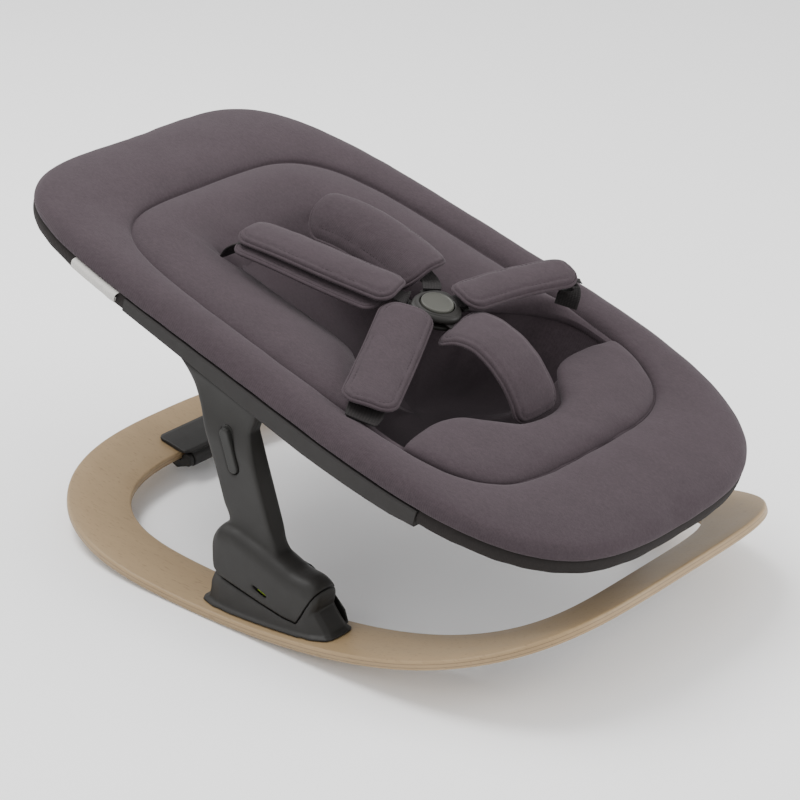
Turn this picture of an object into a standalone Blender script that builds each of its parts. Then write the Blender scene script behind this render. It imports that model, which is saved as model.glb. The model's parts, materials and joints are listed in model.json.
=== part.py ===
"""Rocking bouncer seat: bent plywood ring base, two clip-on legs, reclining padded seat and harness.

Metres, +Z up. +Y runs to the head end, the floor is Z = 0, and X = 0 is the plane of symmetry.
Shapes are worked out in a design frame whose Y = 0 lies near the legs; the root empty then slides
everything along Y, so that the origin sits under the middle of the whole object.
"""
import math

import bmesh
import bpy
from mathutils import Vector

# ---------------------------------------------------------------- driving dimensions
CENTRE_Y = -0.0090            # design-frame Y of the middle of the object
GAP = 0.0003                  # clearance between touching pieces
RUNNING = 0.0001              # radial clearance of a pin in its bore

# Rocker ring: one bent plywood sheet whose underside follows a polynomial in Y
PLY = 0.010
ROCKER_LOW_Y = 0.0342
ROCKER_CURVE = (0.4429, -0.1578, 0.0797)
RING_HALF_WIDTH = 0.2447
RING_ARM = 0.0639
RING_HEAD_BAND = 0.0711
RING_FOOT_BAND = 0.0546
RING_HEAD_Y = (0.0872, 0.3266)
RING_FOOT_Y = (-0.0249, -0.3799)
RING_HEAD_POWER = (2.73, 3.2)
RING_FOOT_POWER = (4.08, 4.5)
RING_EDGE = 0.0022
ARM_X = RING_HALF_WIDTH - RING_ARM / 2

# Seat plane, outline and thicknesses, in the seat's own axes: u across, v to the head, n up
SEAT_TILT = math.radians(15.7)
SEAT_ORIGIN = Vector((0.0, -0.0096, 0.2517))
SEAT_WIDTH = 0.430
SEAT_LENGTH = 0.7604
SEAT_POWER = (4.77, 3.27)
SEAT_TAPER = -0.1419
SEAT_BOW = 0.039
SEAM_WIDTH = 0.333
SEAM_LENGTH = 0.530
SEAM_POWER = (4.6, 4.25)
PAD_UNDER = -0.0035
TUBE_R = 0.006
TUBE_INSET = 0.009
TUBE_N = -0.0118
RAIL_V = (-0.224, 0.164)
RAIL_WIDTH = 0.0185
WELL_DEPTH = 0.082
WELL_CENTRE = (0.0, -0.06)
SKIN = 0.003

# Legs: a leaning post that ends in a shoe over a foot fixed to the ring
LEG_LEAN = math.radians(17.5)
LEG_BASE = Vector((0.0, -0.0255, 0.1055))
LEG_X = (0.1978, 0.2205)
SHOE_X = 0.2118
SHOE_LIFT = 0.0024
CHEEK_X = (0.1883, 0.1904)
TENON_HALF = (0.0075, 0.021)
LEG_SCREW = (0.0198, 0.030)
BUTTON_T, BUTTON_S = 0.004, 0.078
BUTTON_SIZE = (0.012, 0.047)
WINDOW_Y, WINDOW_Z = -0.0445, 0.0470
WINDOW_TILT = math.radians(17)

# Pivot between leg and side rail, in seat axes
PIVOT_V, PIVOT_N = 0.078, -0.0125
PIVOT_R = 0.003
LUG_R = 0.0072
LUG_X = (0.1862, 0.1930)

# Stopper at the head end of the ring
STOPPER_Y, STOPPER_Z = 0.2462, 0.0215
STOPPER_HALF = 0.043
BARREL_R = 0.0085

# Harness
WEBBING = (0.025, 0.0015)
BUCKLE = (0.0, -0.052)
BUCKLE_RISE = -0.0045
BUTTON_R = 0.0168

COLOURS = {
    "plywood": ((0.52, 0.42, 0.30), 0.55, 0.0),
    "plastic": ((0.052, 0.050, 0.046), 0.50, 0.0),
    "plastic_inner": ((0.075, 0.073, 0.070), 0.55, 0.0),
    "rail_plastic": ((0.062, 0.054, 0.048), 0.55, 0.0),
    "steel": ((0.62, 0.62, 0.63), 0.35, 1.0),
    "tube": ((0.55, 0.55, 0.57), 0.40, 1.0),
    "green": ((0.25, 0.36, 0.02), 0.5, 0.0),
    "fabric": ((0.130, 0.112, 0.120), 0.9, 0.0),
    "dark_fabric": ((0.055, 0.050, 0.050), 0.9, 0.0),
    "webbing": ((0.040, 0.037, 0.038), 0.8, 0.0),
    "button": ((0.225, 0.240, 0.205), 0.45, 0.0),
    "label": ((0.62, 0.60, 0.57), 0.8, 0.0),
    "rubber": ((0.03, 0.03, 0.03), 0.8, 0.0),
}


# ---------------------------------------------------------------- scene helpers
for old in list(bpy.data.objects):
    bpy.data.objects.remove(old, do_unlink=True)


def material(name):
    """The named material, made once from COLOURS."""
    if name in bpy.data.materials:
        return bpy.data.materials[name]
    colour, roughness, metallic = COLOURS[name]
    made = bpy.data.materials.new(name)
    made.use_nodes = True
    shader = made.node_tree.nodes["Principled BSDF"]
    shader.inputs["Base Color"].default_value = (*colour, 1.0)
    shader.inputs["Roughness"].default_value = roughness
    shader.inputs["Metallic"].default_value = metallic
    return made


def empty(name, place, parent=None):
    """An empty at a design-frame point, under its parent."""
    made = bpy.data.objects.new(name, None)
    bpy.context.scene.collection.objects.link(made)
    made.parent = parent
    made["place"] = tuple(place)
    origin = Vector(parent["place"]) if parent else Vector((0.0, 0.0, 0.0))
    made.location = Vector(place) - origin
    return made


def add(name, loops_or_mesh, slot, parent, smooth=35.0, cutter=False):
    """Makes one object from (vertices, faces) in the design frame, with its origin at its parent."""
    vertices, faces = loops_or_mesh
    origin = Vector(parent["place"])
    mesh = bpy.data.meshes.new(name)
    work = bmesh.new()
    made = [work.verts.new(Vector(point) - origin) for point in vertices]
    for face in faces:
        work.faces.new([made[i] for i in face])
    bmesh.ops.recalc_face_normals(work, faces=work.faces)
    work.to_mesh(mesh)
    work.free()
    if smooth:
        mesh.shade_smooth()
        mesh.set_sharp_from_angle(angle=math.radians(smooth))
    piece = bpy.data.objects.new(name, mesh)
    bpy.context.scene.collection.objects.link(piece)
    piece.parent = parent
    if cutter:
        piece.hide_render = True
        piece.display_type = "WIRE"
    else:
        mesh.materials.append(material(slot))
    return piece


def boolean(piece, operation, other):
    """An exact Boolean modifier."""
    step = piece.modifiers.new(operation.lower(), "BOOLEAN")
    step.operation = operation
    step.solver = "EXACT"
    step.object = other


# ---------------------------------------------------------------- shape helpers
def loft(loops, ring=False):
    """Skin over equal closed loops; a ring joins the last loop to the first, else the ends are capped."""
    count = len(loops[0])
    vertices = [point for loop in loops for point in loop]
    faces = []
    spans = len(loops) if ring else len(loops) - 1
    for i in range(spans):
        j = (i + 1) % len(loops)
        for k in range(count):
            m = (k + 1) % count
            faces.append((i * count + k, i * count + m, j * count + m, j * count + k))
    if not ring:
        faces.append(tuple(reversed(range(count))))
        faces.append(tuple((len(loops) - 1) * count + k for k in range(count)))
    return vertices, faces


def rounded(half_x, half_y, radius, steps=3):
    """Rounded rectangle as 2-D points, anticlockwise."""
    points = []
    for corner in range(4):
        sx = 1 if corner in (0, 3) else -1
        sy = 1 if corner in (0, 1) else -1
        for i in range(steps + 1):
            angle = (corner + i / steps) * math.pi / 2
            points.append((sx * (half_x - radius) + radius * math.cos(angle),
                           sy * (half_y - radius) + radius * math.sin(angle)))
    return points


def pill(half_long, half_wide, steps=6):
    """Slot outline: long along the second axis."""
    straight = half_long - half_wide
    points = []
    for i in range(2 * steps + 2):
        angle = math.pi * (i if i <= steps else i - 1) / steps
        shift = straight if i <= steps else -straight
        points.append((half_wide * math.cos(angle), half_wide * math.sin(angle) + shift))
    return points


def superellipse(angle, half_x, half_y, power):
    """Point at a polar angle on |x|^p + |y|^p = 1, stretched to the half sizes."""
    c, s = math.cos(angle), math.sin(angle)
    r = (abs(c) ** power + abs(s) ** power) ** (-1.0 / power)
    return half_x * c * r, half_y * s * r


def spread(curve, first, last, count, bend=0.05):
    """Angles that spread points along a curve, closer together where it bends."""
    fine = 600
    angles = [first + (last - first) * i / fine for i in range(fine + 1)]
    points = [Vector(curve(a)) for a in angles]
    walked = [0.0]
    for i in range(fine):
        step = points[i + 1] - points[i]
        turn = 0.0
        if 0 < i:
            turn = step.angle(points[i] - points[i - 1], 0.0)
        walked.append(walked[-1] + step.length + bend * turn)
    out = []
    j = 0
    for i in range(count + 1):
        goal = walked[-1] * i / count
        while j < fine - 1 and walked[j + 1] < goal:
            j += 1
        share = (goal - walked[j]) / (walked[j + 1] - walked[j])
        out.append(angles[j] + (angles[j + 1] - angles[j]) * share)
    return out


def spline(points, steps, closed=False):
    """Catmull-Rom curve through points of any dimension."""
    out = []
    count = len(points)
    spans = count if closed else count - 1
    for i in range(spans):
        if closed:
            p = [points[(i + k - 1) % count] for k in range(4)]
        else:
            p = [points[min(max(i + k - 1, 0), count - 1)] for k in range(4)]
        for j in range(steps):
            t = j / steps
            out.append(tuple(
                0.5 * (2 * b + (c - a) * t + (2 * a - 5 * b + 4 * c - d) * t * t
                       + (3 * b - a - 3 * c + d) * t ** 3)
                for a, b, c, d in zip(*p)))
    if not closed:
        out.append(tuple(points[-1]))
    return out


def cylinder(centre, axis, radius, low, high, sides=16):
    """Cylinder along an axis from low to high, measured from the centre."""
    axis = Vector(axis).normalized()
    side = axis.orthogonal().normalized()
    other = axis.cross(side)
    loops = []
    for station, r in ((low, radius), (high, radius)):
        loops.append([Vector(centre) + axis * station
                      + side * (r * math.cos(2 * math.pi * k / sides))
                      + other * (r * math.sin(2 * math.pi * k / sides)) for k in range(sides)])
    return loft(loops)


def turned(centre, axis, profile, sides=20):
    """Solid of revolution from (radius, height) points; all radii above zero."""
    axis = Vector(axis).normalized()
    side = axis.orthogonal().normalized()
    other = axis.cross(side)
    loops = []
    for r, height in profile:
        loops.append([Vector(centre) + axis * height
                      + side * (r * math.cos(2 * math.pi * k / sides))
                      + other * (r * math.sin(2 * math.pi * k / sides)) for k in range(sides)])
    return loft(loops)


def box(low, high):
    """Axis-aligned box."""
    x0, y0, z0 = low
    x1, y1, z1 = high
    return loft([[Vector((x0, y0, z)), Vector((x1, y0, z)), Vector((x1, y1, z)), Vector((x0, y1, z))]
                 for z in (z0, z1)])


# ---------------------------------------------------------------- frames of the object
def rocker_z(y):
    d = y - ROCKER_LOW_Y
    return sum(c * d ** (i + 2) for i, c in enumerate(ROCKER_CURVE))


def rocker_slope(y):
    d = y - ROCKER_LOW_Y
    return sum(c * (i + 2) * d ** (i + 1) for i, c in enumerate(ROCKER_CURVE))


def rocker_normal(y):
    slope = rocker_slope(y)
    return Vector((0.0, -slope, 1.0)).normalized()


def on_rocker(x, y, height):
    """A point at a height above the sheet's underside, square to the sheet."""
    return Vector((x, y, rocker_z(y))) + rocker_normal(y) * height


SEAT_V = Vector((0.0, math.cos(SEAT_TILT), math.sin(SEAT_TILT)))
SEAT_N = Vector((0.0, -math.sin(SEAT_TILT), math.cos(SEAT_TILT)))
LEG_T = Vector((0.0, math.cos(LEG_LEAN), -math.sin(LEG_LEAN)))
LEG_S = Vector((0.0, math.sin(LEG_LEAN), math.cos(LEG_LEAN)))


def seat(u, v, n):
    """Seat axes to the design frame, with the slight bow along the seat."""
    return SEAT_ORIGIN + Vector((u, 0.0, 0.0)) + SEAT_V * v + SEAT_N * (n - SEAT_BOW * v * v)


def leg(x, t, s):
    """Leg axes to the design frame: t across the post, s up along it."""
    return LEG_BASE + Vector((x, 0.0, 0.0)) + LEG_T * t + LEG_S * s


def leg_box(side, x_range, t_range, s_range):
    """A box in leg axes, on one side of the object (side is -1 or 1)."""
    loops = []
    for s in s_range:
        loops.append([leg(side * x, t, s) for x, t in
                      ((x_range[0], t_range[0]), (x_range[1], t_range[0]),
                       (x_range[1], t_range[1]), (x_range[0], t_range[1]))])
    return loft(loops)


PIVOT = seat(0.0, PIVOT_V, PIVOT_N)
BUCKLE_AT = seat(*BUCKLE, 0.0)

root = empty("bouncer", (0.0, 0.0, 0.0))
root.location = (0.0, -CENTRE_Y, 0.0)
base = empty("base_frame", (0.0, 0.0, 0.0), root)
stopper_axis = empty("stopper_axis", (0.0, STOPPER_Y, STOPPER_Z), base)
legs = empty("leg_frame", LEG_BASE, base)
recline_axis = empty("recline_axis", PIVOT, legs)
buckle_axis = empty("buckle_button_axis", BUCKLE_AT, recline_axis)


# ---------------------------------------------------------------- base
def ring_point(angle, at_head, inner):
    """Plan outline of the ring: a superellipse at each end, with straight arms between."""
    which = 1 if inner else 0
    half = RING_HALF_WIDTH - (RING_ARM if inner else 0.0)
    if at_head:
        start, end = RING_HEAD_Y
        reach = end - start - (RING_HEAD_BAND if inner else 0.0)
        power = RING_HEAD_POWER[which]
    else:
        start, end = RING_FOOT_Y
        reach = start - end - (RING_FOOT_BAND if inner else 0.0)
        power = RING_FOOT_POWER[which]
    x, y = superellipse(angle, half, reach, power)
    return x, start + y


def ring_stations():
    """Matching outer and inner plan points all the way round, anticlockwise."""
    arm = (0.0615, ROCKER_LOW_Y + 0.006, ROCKER_LOW_Y - 0.006, 0.0050)
    inner_x = RING_HALF_WIDTH - RING_ARM
    stations = []
    for at_head, first in ((True, 0.0), (False, math.pi)):
        angles = spread(lambda a: ring_point(a, at_head, False), first, first + math.pi, 40)
        stations += [(ring_point(a, at_head, False), ring_point(a, at_head, True)) for a in angles]
        sign = -1 if at_head else 1
        levels = arm if at_head else reversed(arm)
        stations += [((sign * RING_HALF_WIDTH, y), (sign * inner_x, y)) for y in levels]
    return stations


def make_ring():
    loops = []
    for outer, inner in ring_stations():
        outer, inner = Vector(outer), Vector(inner)
        width = (inner - outer).length
        across = (inner - outer) / width
        e = RING_EDGE
        section = ((e, 0), (0, e), (0, PLY - e), (e, PLY),
                   (width - e, PLY), (width, PLY - e), (width, e), (width - e, 0))
        loops.append([on_rocker(*(outer + across * w), h) for w, h in section])
    return add("rocker_ring", loft(loops, ring=True), "plywood", base)


def shoe_loops(side, grow=0.0):
    """Cross-sections of the shoe from its head end to its toe, grown for the clearance cutter."""
    stations = ((0.0190, 0.055, 0.081, 0.0180), (0.0172, 0.048, 0.090, 0.0198),
                (0.0100, 0.0425, 0.0975, 0.0205), (-0.0100, 0.0385, 0.0985, 0.0205),
                (-0.0400, 0.0325, 0.0900, 0.0205), (-0.0750, 0.0262, 0.0775, 0.0200),
                (-0.0950, 0.0250, 0.0700, 0.0195), (-0.1050, 0.0300, 0.0640, 0.0175),
                (-0.1095, 0.0400, 0.0570, 0.0120))
    loops = []
    for i, (y, low, high, half) in enumerate(stations):
        if i == 0:
            y += grow
        if i == len(stations) - 1:
            y -= grow
        low, high, half = low + SHOE_LIFT - grow, high + SHOE_LIFT + grow, half + grow
        crown = min(0.014, 0.45 * (high - low), half * 0.9)
        foot_r = min(0.003, 0.2 * (high - low))
        loop = []
        for sx, r, level, start in ((1, crown, high, 0), (-1, crown, high, 1),
                                    (-1, foot_r, low, 2), (1, foot_r, low, 3)):
            for k in range(4):
                angle = (start + k / 3) * math.pi / 2
                centre_z = level - r if level == high else level + r
                loop.append(Vector((side * SHOE_X + sx * (half - r) + r * math.cos(angle), y,
                                    centre_z + r * math.sin(angle))))
        loops.append(loop)
    return loops


def make_foot(side, tag):
    """Flange on the wood, saddle body under the shoe, and the tenon that the leg drops onto."""
    levels = ((0.0005, 0.0295, -0.1370, 0.0248, ARM_X), (0.0020, 0.0295, -0.1370, 0.0248, ARM_X),
              (0.0034, 0.0275, -0.1350, 0.0230, ARM_X), (0.0050, 0.0238, -0.1315, 0.0212, SHOE_X),
              (0.0140, 0.0215, -0.1260, 0.0203, SHOE_X), (0.0240, 0.0200, -0.1200, 0.0201, SHOE_X),
              (0.0330, 0.0185, -0.1130, 0.0190, SHOE_X), (0.0400, 0.0150, -0.1060, 0.0150, SHOE_X))
    loops = []
    for height, head, toe, half, centre in levels:
        loop = []
        for k in range(28):
            x, y = superellipse(2 * math.pi * k / 28, half, (head - toe) / 2, 5.0)
            loop.append(on_rocker(side * centre + x, (head + toe) / 2 + y, PLY + height))
        loops.append(loop)
    foot = add("foot_" + tag, loft(loops), "plastic", base)
    boolean(foot, "DIFFERENCE", add("cut_shoe_" + tag, loft(shoe_loops(side, 0.0006)), None, base,
                                    cutter=True))
    half_x, half_t = TENON_HALF
    tenon = add("cut_tenon_" + tag, leg_box(side, (SHOE_X - half_x, SHOE_X + half_x),
                                            (-half_t, half_t), (-0.084, -0.036)), None, base,
                cutter=True)
    boolean(foot, "UNION", tenon)
    # Cheek beside the shoe's inner face
    loops = []
    for x in CHEEK_X:
        loop = [Vector((side * x, y, z)) for y, z in
                ((0.0192, 0.0320), (0.0180, 0.0600), (-0.0300, 0.0765), (-0.0750, 0.0700),
                 (-0.0950, 0.0600), (-0.1060, 0.0480), (-0.1180, 0.0370))]
        loop += [on_rocker(side * x, y, PLY + 0.0022) for y in (-0.1240, -0.0850, -0.0450, 0.0, 0.0180)]
        loops.append(loop)
    boolean(foot, "UNION", add("cut_cheek_" + tag, loft(loops), None, base, cutter=True))
    return foot


def drill(piece, name, place, axis, radius, low, high, sides=12):
    boolean(piece, "DIFFERENCE", add(name, cylinder(place, axis, radius, low, high, sides), None,
                                     base, cutter=True))


def make_base():
    ring = make_ring()
    for side, tag in ((-1, "left"), (1, "right")):
        foot = make_foot(side, tag)
        for number, y in ((1, -0.012), (2, -0.118)):
            place = on_rocker(side * ARM_X, y, 0.0)
            axis = rocker_normal(y)
            name = "foot_screw_%s_%d" % (tag, number)
            drill(ring, "cut_a_" + name, place, axis, 0.0025, -0.003, PLY + 0.003)
            drill(ring, "cut_b_" + name, place, axis, 0.0052, -0.003, 0.0032)
            drill(foot, "cut_c_" + name, place, axis, 0.0025, 0.004, PLY + 0.0125)
            head = ((0.0046, 0.0005), (0.0048, 0.0018), (0.0022, 0.0029), (0.0022, PLY + 0.010),
                    (0.0010, PLY + 0.012))
            add(name, turned(place, axis, head, 10), "steel", base)
    make_stopper(ring)


def make_stopper(ring):
    """Flap hinged at the ring's inner edge: it lies on the wood, or turns over to prop the ring."""
    axle = Vector((0.0, STOPPER_Y, STOPPER_Z))
    under_y = (0.2585, 0.2965)
    half = STOPPER_HALF - 0.003
    # Base block under the wood, with an ear at each end of the barrel
    loops = []
    for x in (-half, half):
        top = [on_rocker(x, y, -0.0004) for y in (under_y[0], 0.275, under_y[1])]
        bottom = [on_rocker(x, y, -h) for y, h in ((under_y[1] - 0.002, 0.0045), (0.275, 0.0085),
                                                   (under_y[0], 0.0125))]
        loops.append(top + bottom)
    block = add("stopper_base", loft(loops), "plastic", base)
    for number, sx in ((1, -1), (2, 1)):
        ear_x = (half - 0.0055, half)
        ear = add("cut_ear_%d" % number, cylinder(axle, (sx, 0, 0), BARREL_R - 0.001, *ear_x, 16), None,
                  base, cutter=True)
        boolean(block, "UNION", ear)
        web = add("cut_web_%d" % number, loft([[Vector((sx * x, y, z)) for y, z in (
            (STOPPER_Y, STOPPER_Z - BARREL_R + 0.0015), (under_y[0] + 0.003, 0.0085),
            (under_y[0] + 0.003, 0.0185), (STOPPER_Y + 0.004, STOPPER_Z - 0.0005))] for x in ear_x]),
            None, base, cutter=True)
        boolean(block, "UNION", web)
    drill(block, "cut_axle_hole", axle, (1, 0, 0), 0.0020 + RUNNING, 0.0012 - half, half - 0.0012, 24)
    for number, x in ((1, -0.026), (2, 0.026)):
        y = 0.2790
        place = on_rocker(x, y, 0.0)
        axis = rocker_normal(y)
        name = "stopper_screw_%d" % number
        drill(block, "cut_a_" + name, place, axis, 0.0020, -0.020, 0.004)
        drill(block, "cut_b_" + name, place, axis, 0.0042, -0.020, -0.0048)
        drill(ring, "cut_c_" + name, place, axis, 0.0020, -0.003, 0.0078)
        head = ((0.0036, -0.0072), (0.0038, -0.0052), (0.0017, -0.0050), (0.0017, 0.0060),
                (0.0008, 0.0074))
        add(name, turned(place, axis, head, 10), "steel", base)
    add("stopper_pin", cylinder(axle, (1, 0, 0), 0.0020, 0.0018 - half, half - 0.0018, 24), "steel",
        base)
    # Flap: plate on top of the wood, joined by a neck to the knuckle round the axle
    loops = []
    for x, grow in ((-STOPPER_HALF, 0.007), (-STOPPER_HALF + 0.002, 0.0035),
                    (-STOPPER_HALF + 0.007, 0.0), (STOPPER_HALF - 0.007, 0.0),
                    (STOPPER_HALF - 0.002, 0.0035), (STOPPER_HALF, 0.007)):
        upper = [on_rocker(x, y, PLY + h) for y, h in ((0.2430 + grow, 0.0034), (0.2480, 0.0050),
                                                       (0.2700, 0.0050), (0.2850, 0.0044),
                                                       (0.2900 - grow, 0.0024))]
        lower = [on_rocker(x, y, PLY + 0.0006) for y in (0.2900 - grow, 0.2720, 0.2540)]
        lower.append(Vector((x, STOPPER_Y - 0.0030 + grow, STOPPER_Z + 0.0088)))
        loops.append(upper + lower)
    flap = add("stopper_flap", loft(loops), "plastic", stopper_axis)
    reach = half - 0.0062
    neck = loft([[axle + Vector((x, y, z)) for y, z in ((-0.0035, 0.004), (0.0045, 0.004),
                                                       (0.0060, 0.0102), (-0.0010, 0.0102))]
                 for x in (-reach + 0.0005, reach - 0.0005)])
    boolean(flap, "UNION", add("cut_neck", neck, None, base, cutter=True))
    barrel = add("cut_barrel", cylinder(axle, (1, 0, 0), BARREL_R, -reach, reach, 20), None, base,
                 cutter=True)
    boolean(flap, "UNION", barrel)
    bore = add("cut_bore", cylinder(axle, (1, 0, 0), 0.0020 + RUNNING, -0.06, 0.06, 24), None, base,
               cutter=True)
    boolean(flap, "DIFFERENCE", bore)


# ---------------------------------------------------------------- legs
def rail_under(v):
    """Height of the side rail's lower edge."""
    points = ((-0.25, -0.0205), (-0.20, -0.0250), (-0.09, -0.0268), (0.0, -0.0245), (0.09, -0.0218),
              (0.155, -0.0200))
    for (v0, n0), (v1, n1) in zip(points, points[1:]):
        if v <= v1:
            return n0 + (n1 - n0) * (v - v0) / (v1 - v0)
    return points[-1][1]


def leg_profile():
    """Side view of the post: straight sides that flare into a gusset under the rail."""
    head = [(-0.0020, 0.0750), (0.0068, 0.1043), (0.0211, 0.1515), (0.0415, 0.2091),
            (0.0464, 0.2215), (0.0492, 0.2295), (0.0535, 0.2375), (0.0585, 0.2435)]
    tip = seat(0.0, 0.0690, -0.0258)
    crest = [seat(0.0, v, n) for v, n in ((0.064, -0.0236), (0.040, -0.0240), (0.0, -0.0255),
                                          (-0.026, -0.0262))]
    foot = [(-0.0250, 0.2118), (-0.0207, 0.2015), (-0.0293, 0.1730), (-0.0495, 0.1086),
            (-0.0610, 0.0785)]
    return (head + [(tip.y, tip.z)] + [(p.y, p.z) for p in crest] + foot)


def make_post(name, side):
    """The post as a solid, with the long edges of its two faces rounded."""
    profile = leg_profile()
    loops = [[Vector((side * x, y, z)) for y, z in profile] for x in LEG_X]
    post = add(name, loft(loops), "plastic", legs)
    edge_weight = post.data.attributes.new("bevel_weight_edge", "FLOAT", "EDGE")
    crest = set(range(8, 13))
    count = len(profile)
    for edge in post.data.edges:
        a, b = edge.vertices
        rim = (a < count) == (b < count)
        on_crest = (a % count) in crest and (b % count) in crest
        edge_weight.data[edge.index].value = 1.0 if rim and not on_crest else 0.0
    step = post.modifiers.new("rounding", "BEVEL")
    step.width = 0.0070
    step.segments = 3
    step.limit_method = "WEIGHT"
    return post


def make_leg(side, tag):
    """Outer and inner half shells, split down the middle, with the latch's space between them."""
    half_x, half_t = TENON_HALF
    shoe = add("cut_shoe_body_" + tag, loft(shoe_loops(side)), None, legs, cutter=True)
    lug = add("cut_lug_" + tag, lug_plate(side), None, legs, cutter=True)
    bridge = add("cut_bridge_" + tag, lug_bridge(side), None, legs, cutter=True)
    cavities = {
        "post_cavity": leg_box(side, (0.2005, 0.2175), (-0.015, 0.016), (-0.037, 0.104)),
        "socket": leg_box(side, (SHOE_X - half_x - 0.0005, SHOE_X + half_x + 0.0005),
                          (-half_t - 0.0005, half_t + 0.0005), (-0.115, -0.0352)),
        "rod_channel": leg_box(side, (0.2160, 0.2264), (-0.0070, 0.0070), (-0.115, -0.0180)),
        "flag_pocket": leg_box(side, (0.2200, 0.2298), (-0.0110, 0.0060), (-0.0700, -0.0505)),
    }
    for name, mesh in cavities.items():
        cavities[name] = add("cut_%s_%s" % (name, tag), mesh, None, legs, cutter=True)
    middle = (LEG_X[0] + LEG_X[1]) / 2
    for half, away in (("outer", (0.10, middle)), ("inner", (middle - GAP, 0.30))):
        low, high = sorted((side * away[0], side * away[1]))
        shell = make_post("leg_%s_shell_%s" % (half, tag), side)
        boolean(shell, "UNION", shoe)
        if half == "inner":
            boolean(shell, "UNION", lug)
            boolean(shell, "UNION", bridge)
        boolean(shell, "DIFFERENCE", add("cut_%s_half_%s" % (half, tag), box(
            (low, -0.30, -0.10), (high, 0.30, 0.50)), None, legs, cutter=True))
        for cutter in cavities.values():
            boolean(shell, "DIFFERENCE", cutter)
        if half == "outer":
            cut_button_and_window(shell, side, tag)
        screw = leg(0.0, *LEG_SCREW)
        holes = [("cut_%s_screw_" % half, screw, 0.0022, 0.17, 0.2145)]
        if half == "inner":
            holes += [("cut_screw_head_", screw, 0.0042, 0.17, 0.1995),
                      ("cut_pivot_", PIVOT, PIVOT_R + RUNNING, 0.17, 0.23)]
        for name, centre, radius, start, end in holes:
            boolean(shell, "DIFFERENCE", add(name + tag, cylinder(
                centre, (side, 0, 0), radius, start, end, 24), None, legs, cutter=True))
    make_leg_inside(side, tag)


def lug_plate(side):
    """Ear beside the side rail that carries the recline pivot."""
    profile = [(PIVOT_V + LUG_R * math.cos(a), PIVOT_N + LUG_R * math.sin(a))
               for a in (math.pi * (k / 10 - 0.15) for k in range(13))]
    profile += [(0.0370, -0.0275), (0.0370, -0.0340), (0.0570, -0.0340)]
    return loft([[seat(side * x, v, n) for v, n in profile] for x in LUG_X])


def lug_bridge(side):
    """Block below the side rail that joins the ear to the post."""
    profile = ((0.0560, -0.0270), (0.0380, -0.0275), (0.0380, -0.0335), (0.0520, -0.0335))
    return loft([[seat(side * x, v, n) for v, n in profile] for x in (LUG_X[0] + 0.0005, 0.2030)])


def pill_solid(side, t, s, half_long, half_wide, x_range):
    loops = []
    for x in x_range:
        loops.append([leg(side * x, t + a, s + b) for a, b in pill(half_long, half_wide)])
    return loft(loops)


def window_bar(side, shift, half_long, half_high, x_range):
    """Bar along the indicator window's slant."""
    along = Vector((0.0, -math.cos(WINDOW_TILT), -math.sin(WINDOW_TILT)))
    across = Vector((0.0, -math.sin(WINDOW_TILT), math.cos(WINDOW_TILT)))
    centre = Vector((0.0, WINDOW_Y, WINDOW_Z)) + along * shift
    loops = []
    for x in x_range:
        loops.append([centre + Vector((side * x, 0, 0)) + along * (a * half_long)
                      + across * (b * half_high) for a, b in ((-1, -1), (1, -1), (1, 1), (-1, 1))])
    return loft(loops)


def cut_button_and_window(shell, side, tag):
    wide, long = BUTTON_SIZE
    pocket = add("cut_pocket_" + tag, pill_solid(side, BUTTON_T, BUTTON_S, long / 2 + 0.0004,
                                                 wide / 2 + 0.0004, (0.212, 0.230)), None, legs,
                 cutter=True)
    boolean(shell, "DIFFERENCE", pocket)
    window = add("cut_window_" + tag, window_bar(side, 0.0, 0.0095, 0.0014, (0.226, 0.240)), None,
                 legs, cutter=True)
    boolean(shell, "DIFFERENCE", window)


def make_leg_inside(side, tag):
    wide, long = BUTTON_SIZE
    press = empty("button_axis_" + tag, leg(side * LEG_X[1], BUTTON_T, BUTTON_S), legs)
    lift = empty("latch_axis_" + tag, leg(side * SHOE_X, 0.0, -0.03), legs)
    # Button: rounded pill with a retaining flange behind the shell wall
    stages = ((0.2222, -0.0022, -0.0014), (0.2215, -0.0006, -0.0004), (0.2198, 0.0, 0.0),
              (0.2171, 0.0, 0.0), (0.2171, 0.0022, 0.0022), (0.2158, 0.0022, 0.0022))
    loops = []
    for x, grow_long, grow_wide in stages:
        outline = pill(long / 2 + grow_long, wide / 2 + grow_wide)
        loops.append([leg(side * x, BUTTON_T + a, BUTTON_S + b) for a, b in outline])
    add("release_button_" + tag, loft(loops), "plastic_inner", press)
    make_spring("button_spring_" + tag, leg(side * 0.2154, BUTTON_T, BUTTON_S + 0.010),
                Vector((-side, 0, 0)), 0.0106, 0.0036, 0.0007, 3, press)
    # Latch rod: steps round the tenon, from the button down to the window
    outline = ((0.2255, -0.0660), (0.2222, -0.0660), (0.2222, -0.0340), (0.2085, -0.0310),
               (0.2085, 0.0620), (0.2118, 0.0660), (0.2118, -0.0262), (0.2255, -0.0290))
    add("latch_rod_" + tag, loft([[leg(side * x, t, s) for x, s in outline]
                                  for t in (-0.0055, 0.0055)]), "steel", lift)
    add("lock_indicator_" + tag, window_bar(side, 0.0026, 0.0066, 0.0016, (0.2259, 0.2290)), "green",
        lift)
    screw = ((0.0010, 0.0), (0.0019, 0.0020), (0.0019, 0.0141), (0.0038, 0.0143), (0.0038, 0.0156))
    place = leg(side * 0.2135, *LEG_SCREW)
    add("leg_screw_" + tag, turned(place, (-side, 0, 0), screw, 10), "steel", legs)
    profile = ((0.0055, 0.0), (0.0058, 0.0030), (PIVOT_R, 0.0031), (PIVOT_R, 0.0262))
    add("pivot_bolt_" + tag, turned(PIVOT + Vector((side * 0.1828, 0, 0)), (side, 0, 0), profile, 24),
        "steel", legs)


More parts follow.
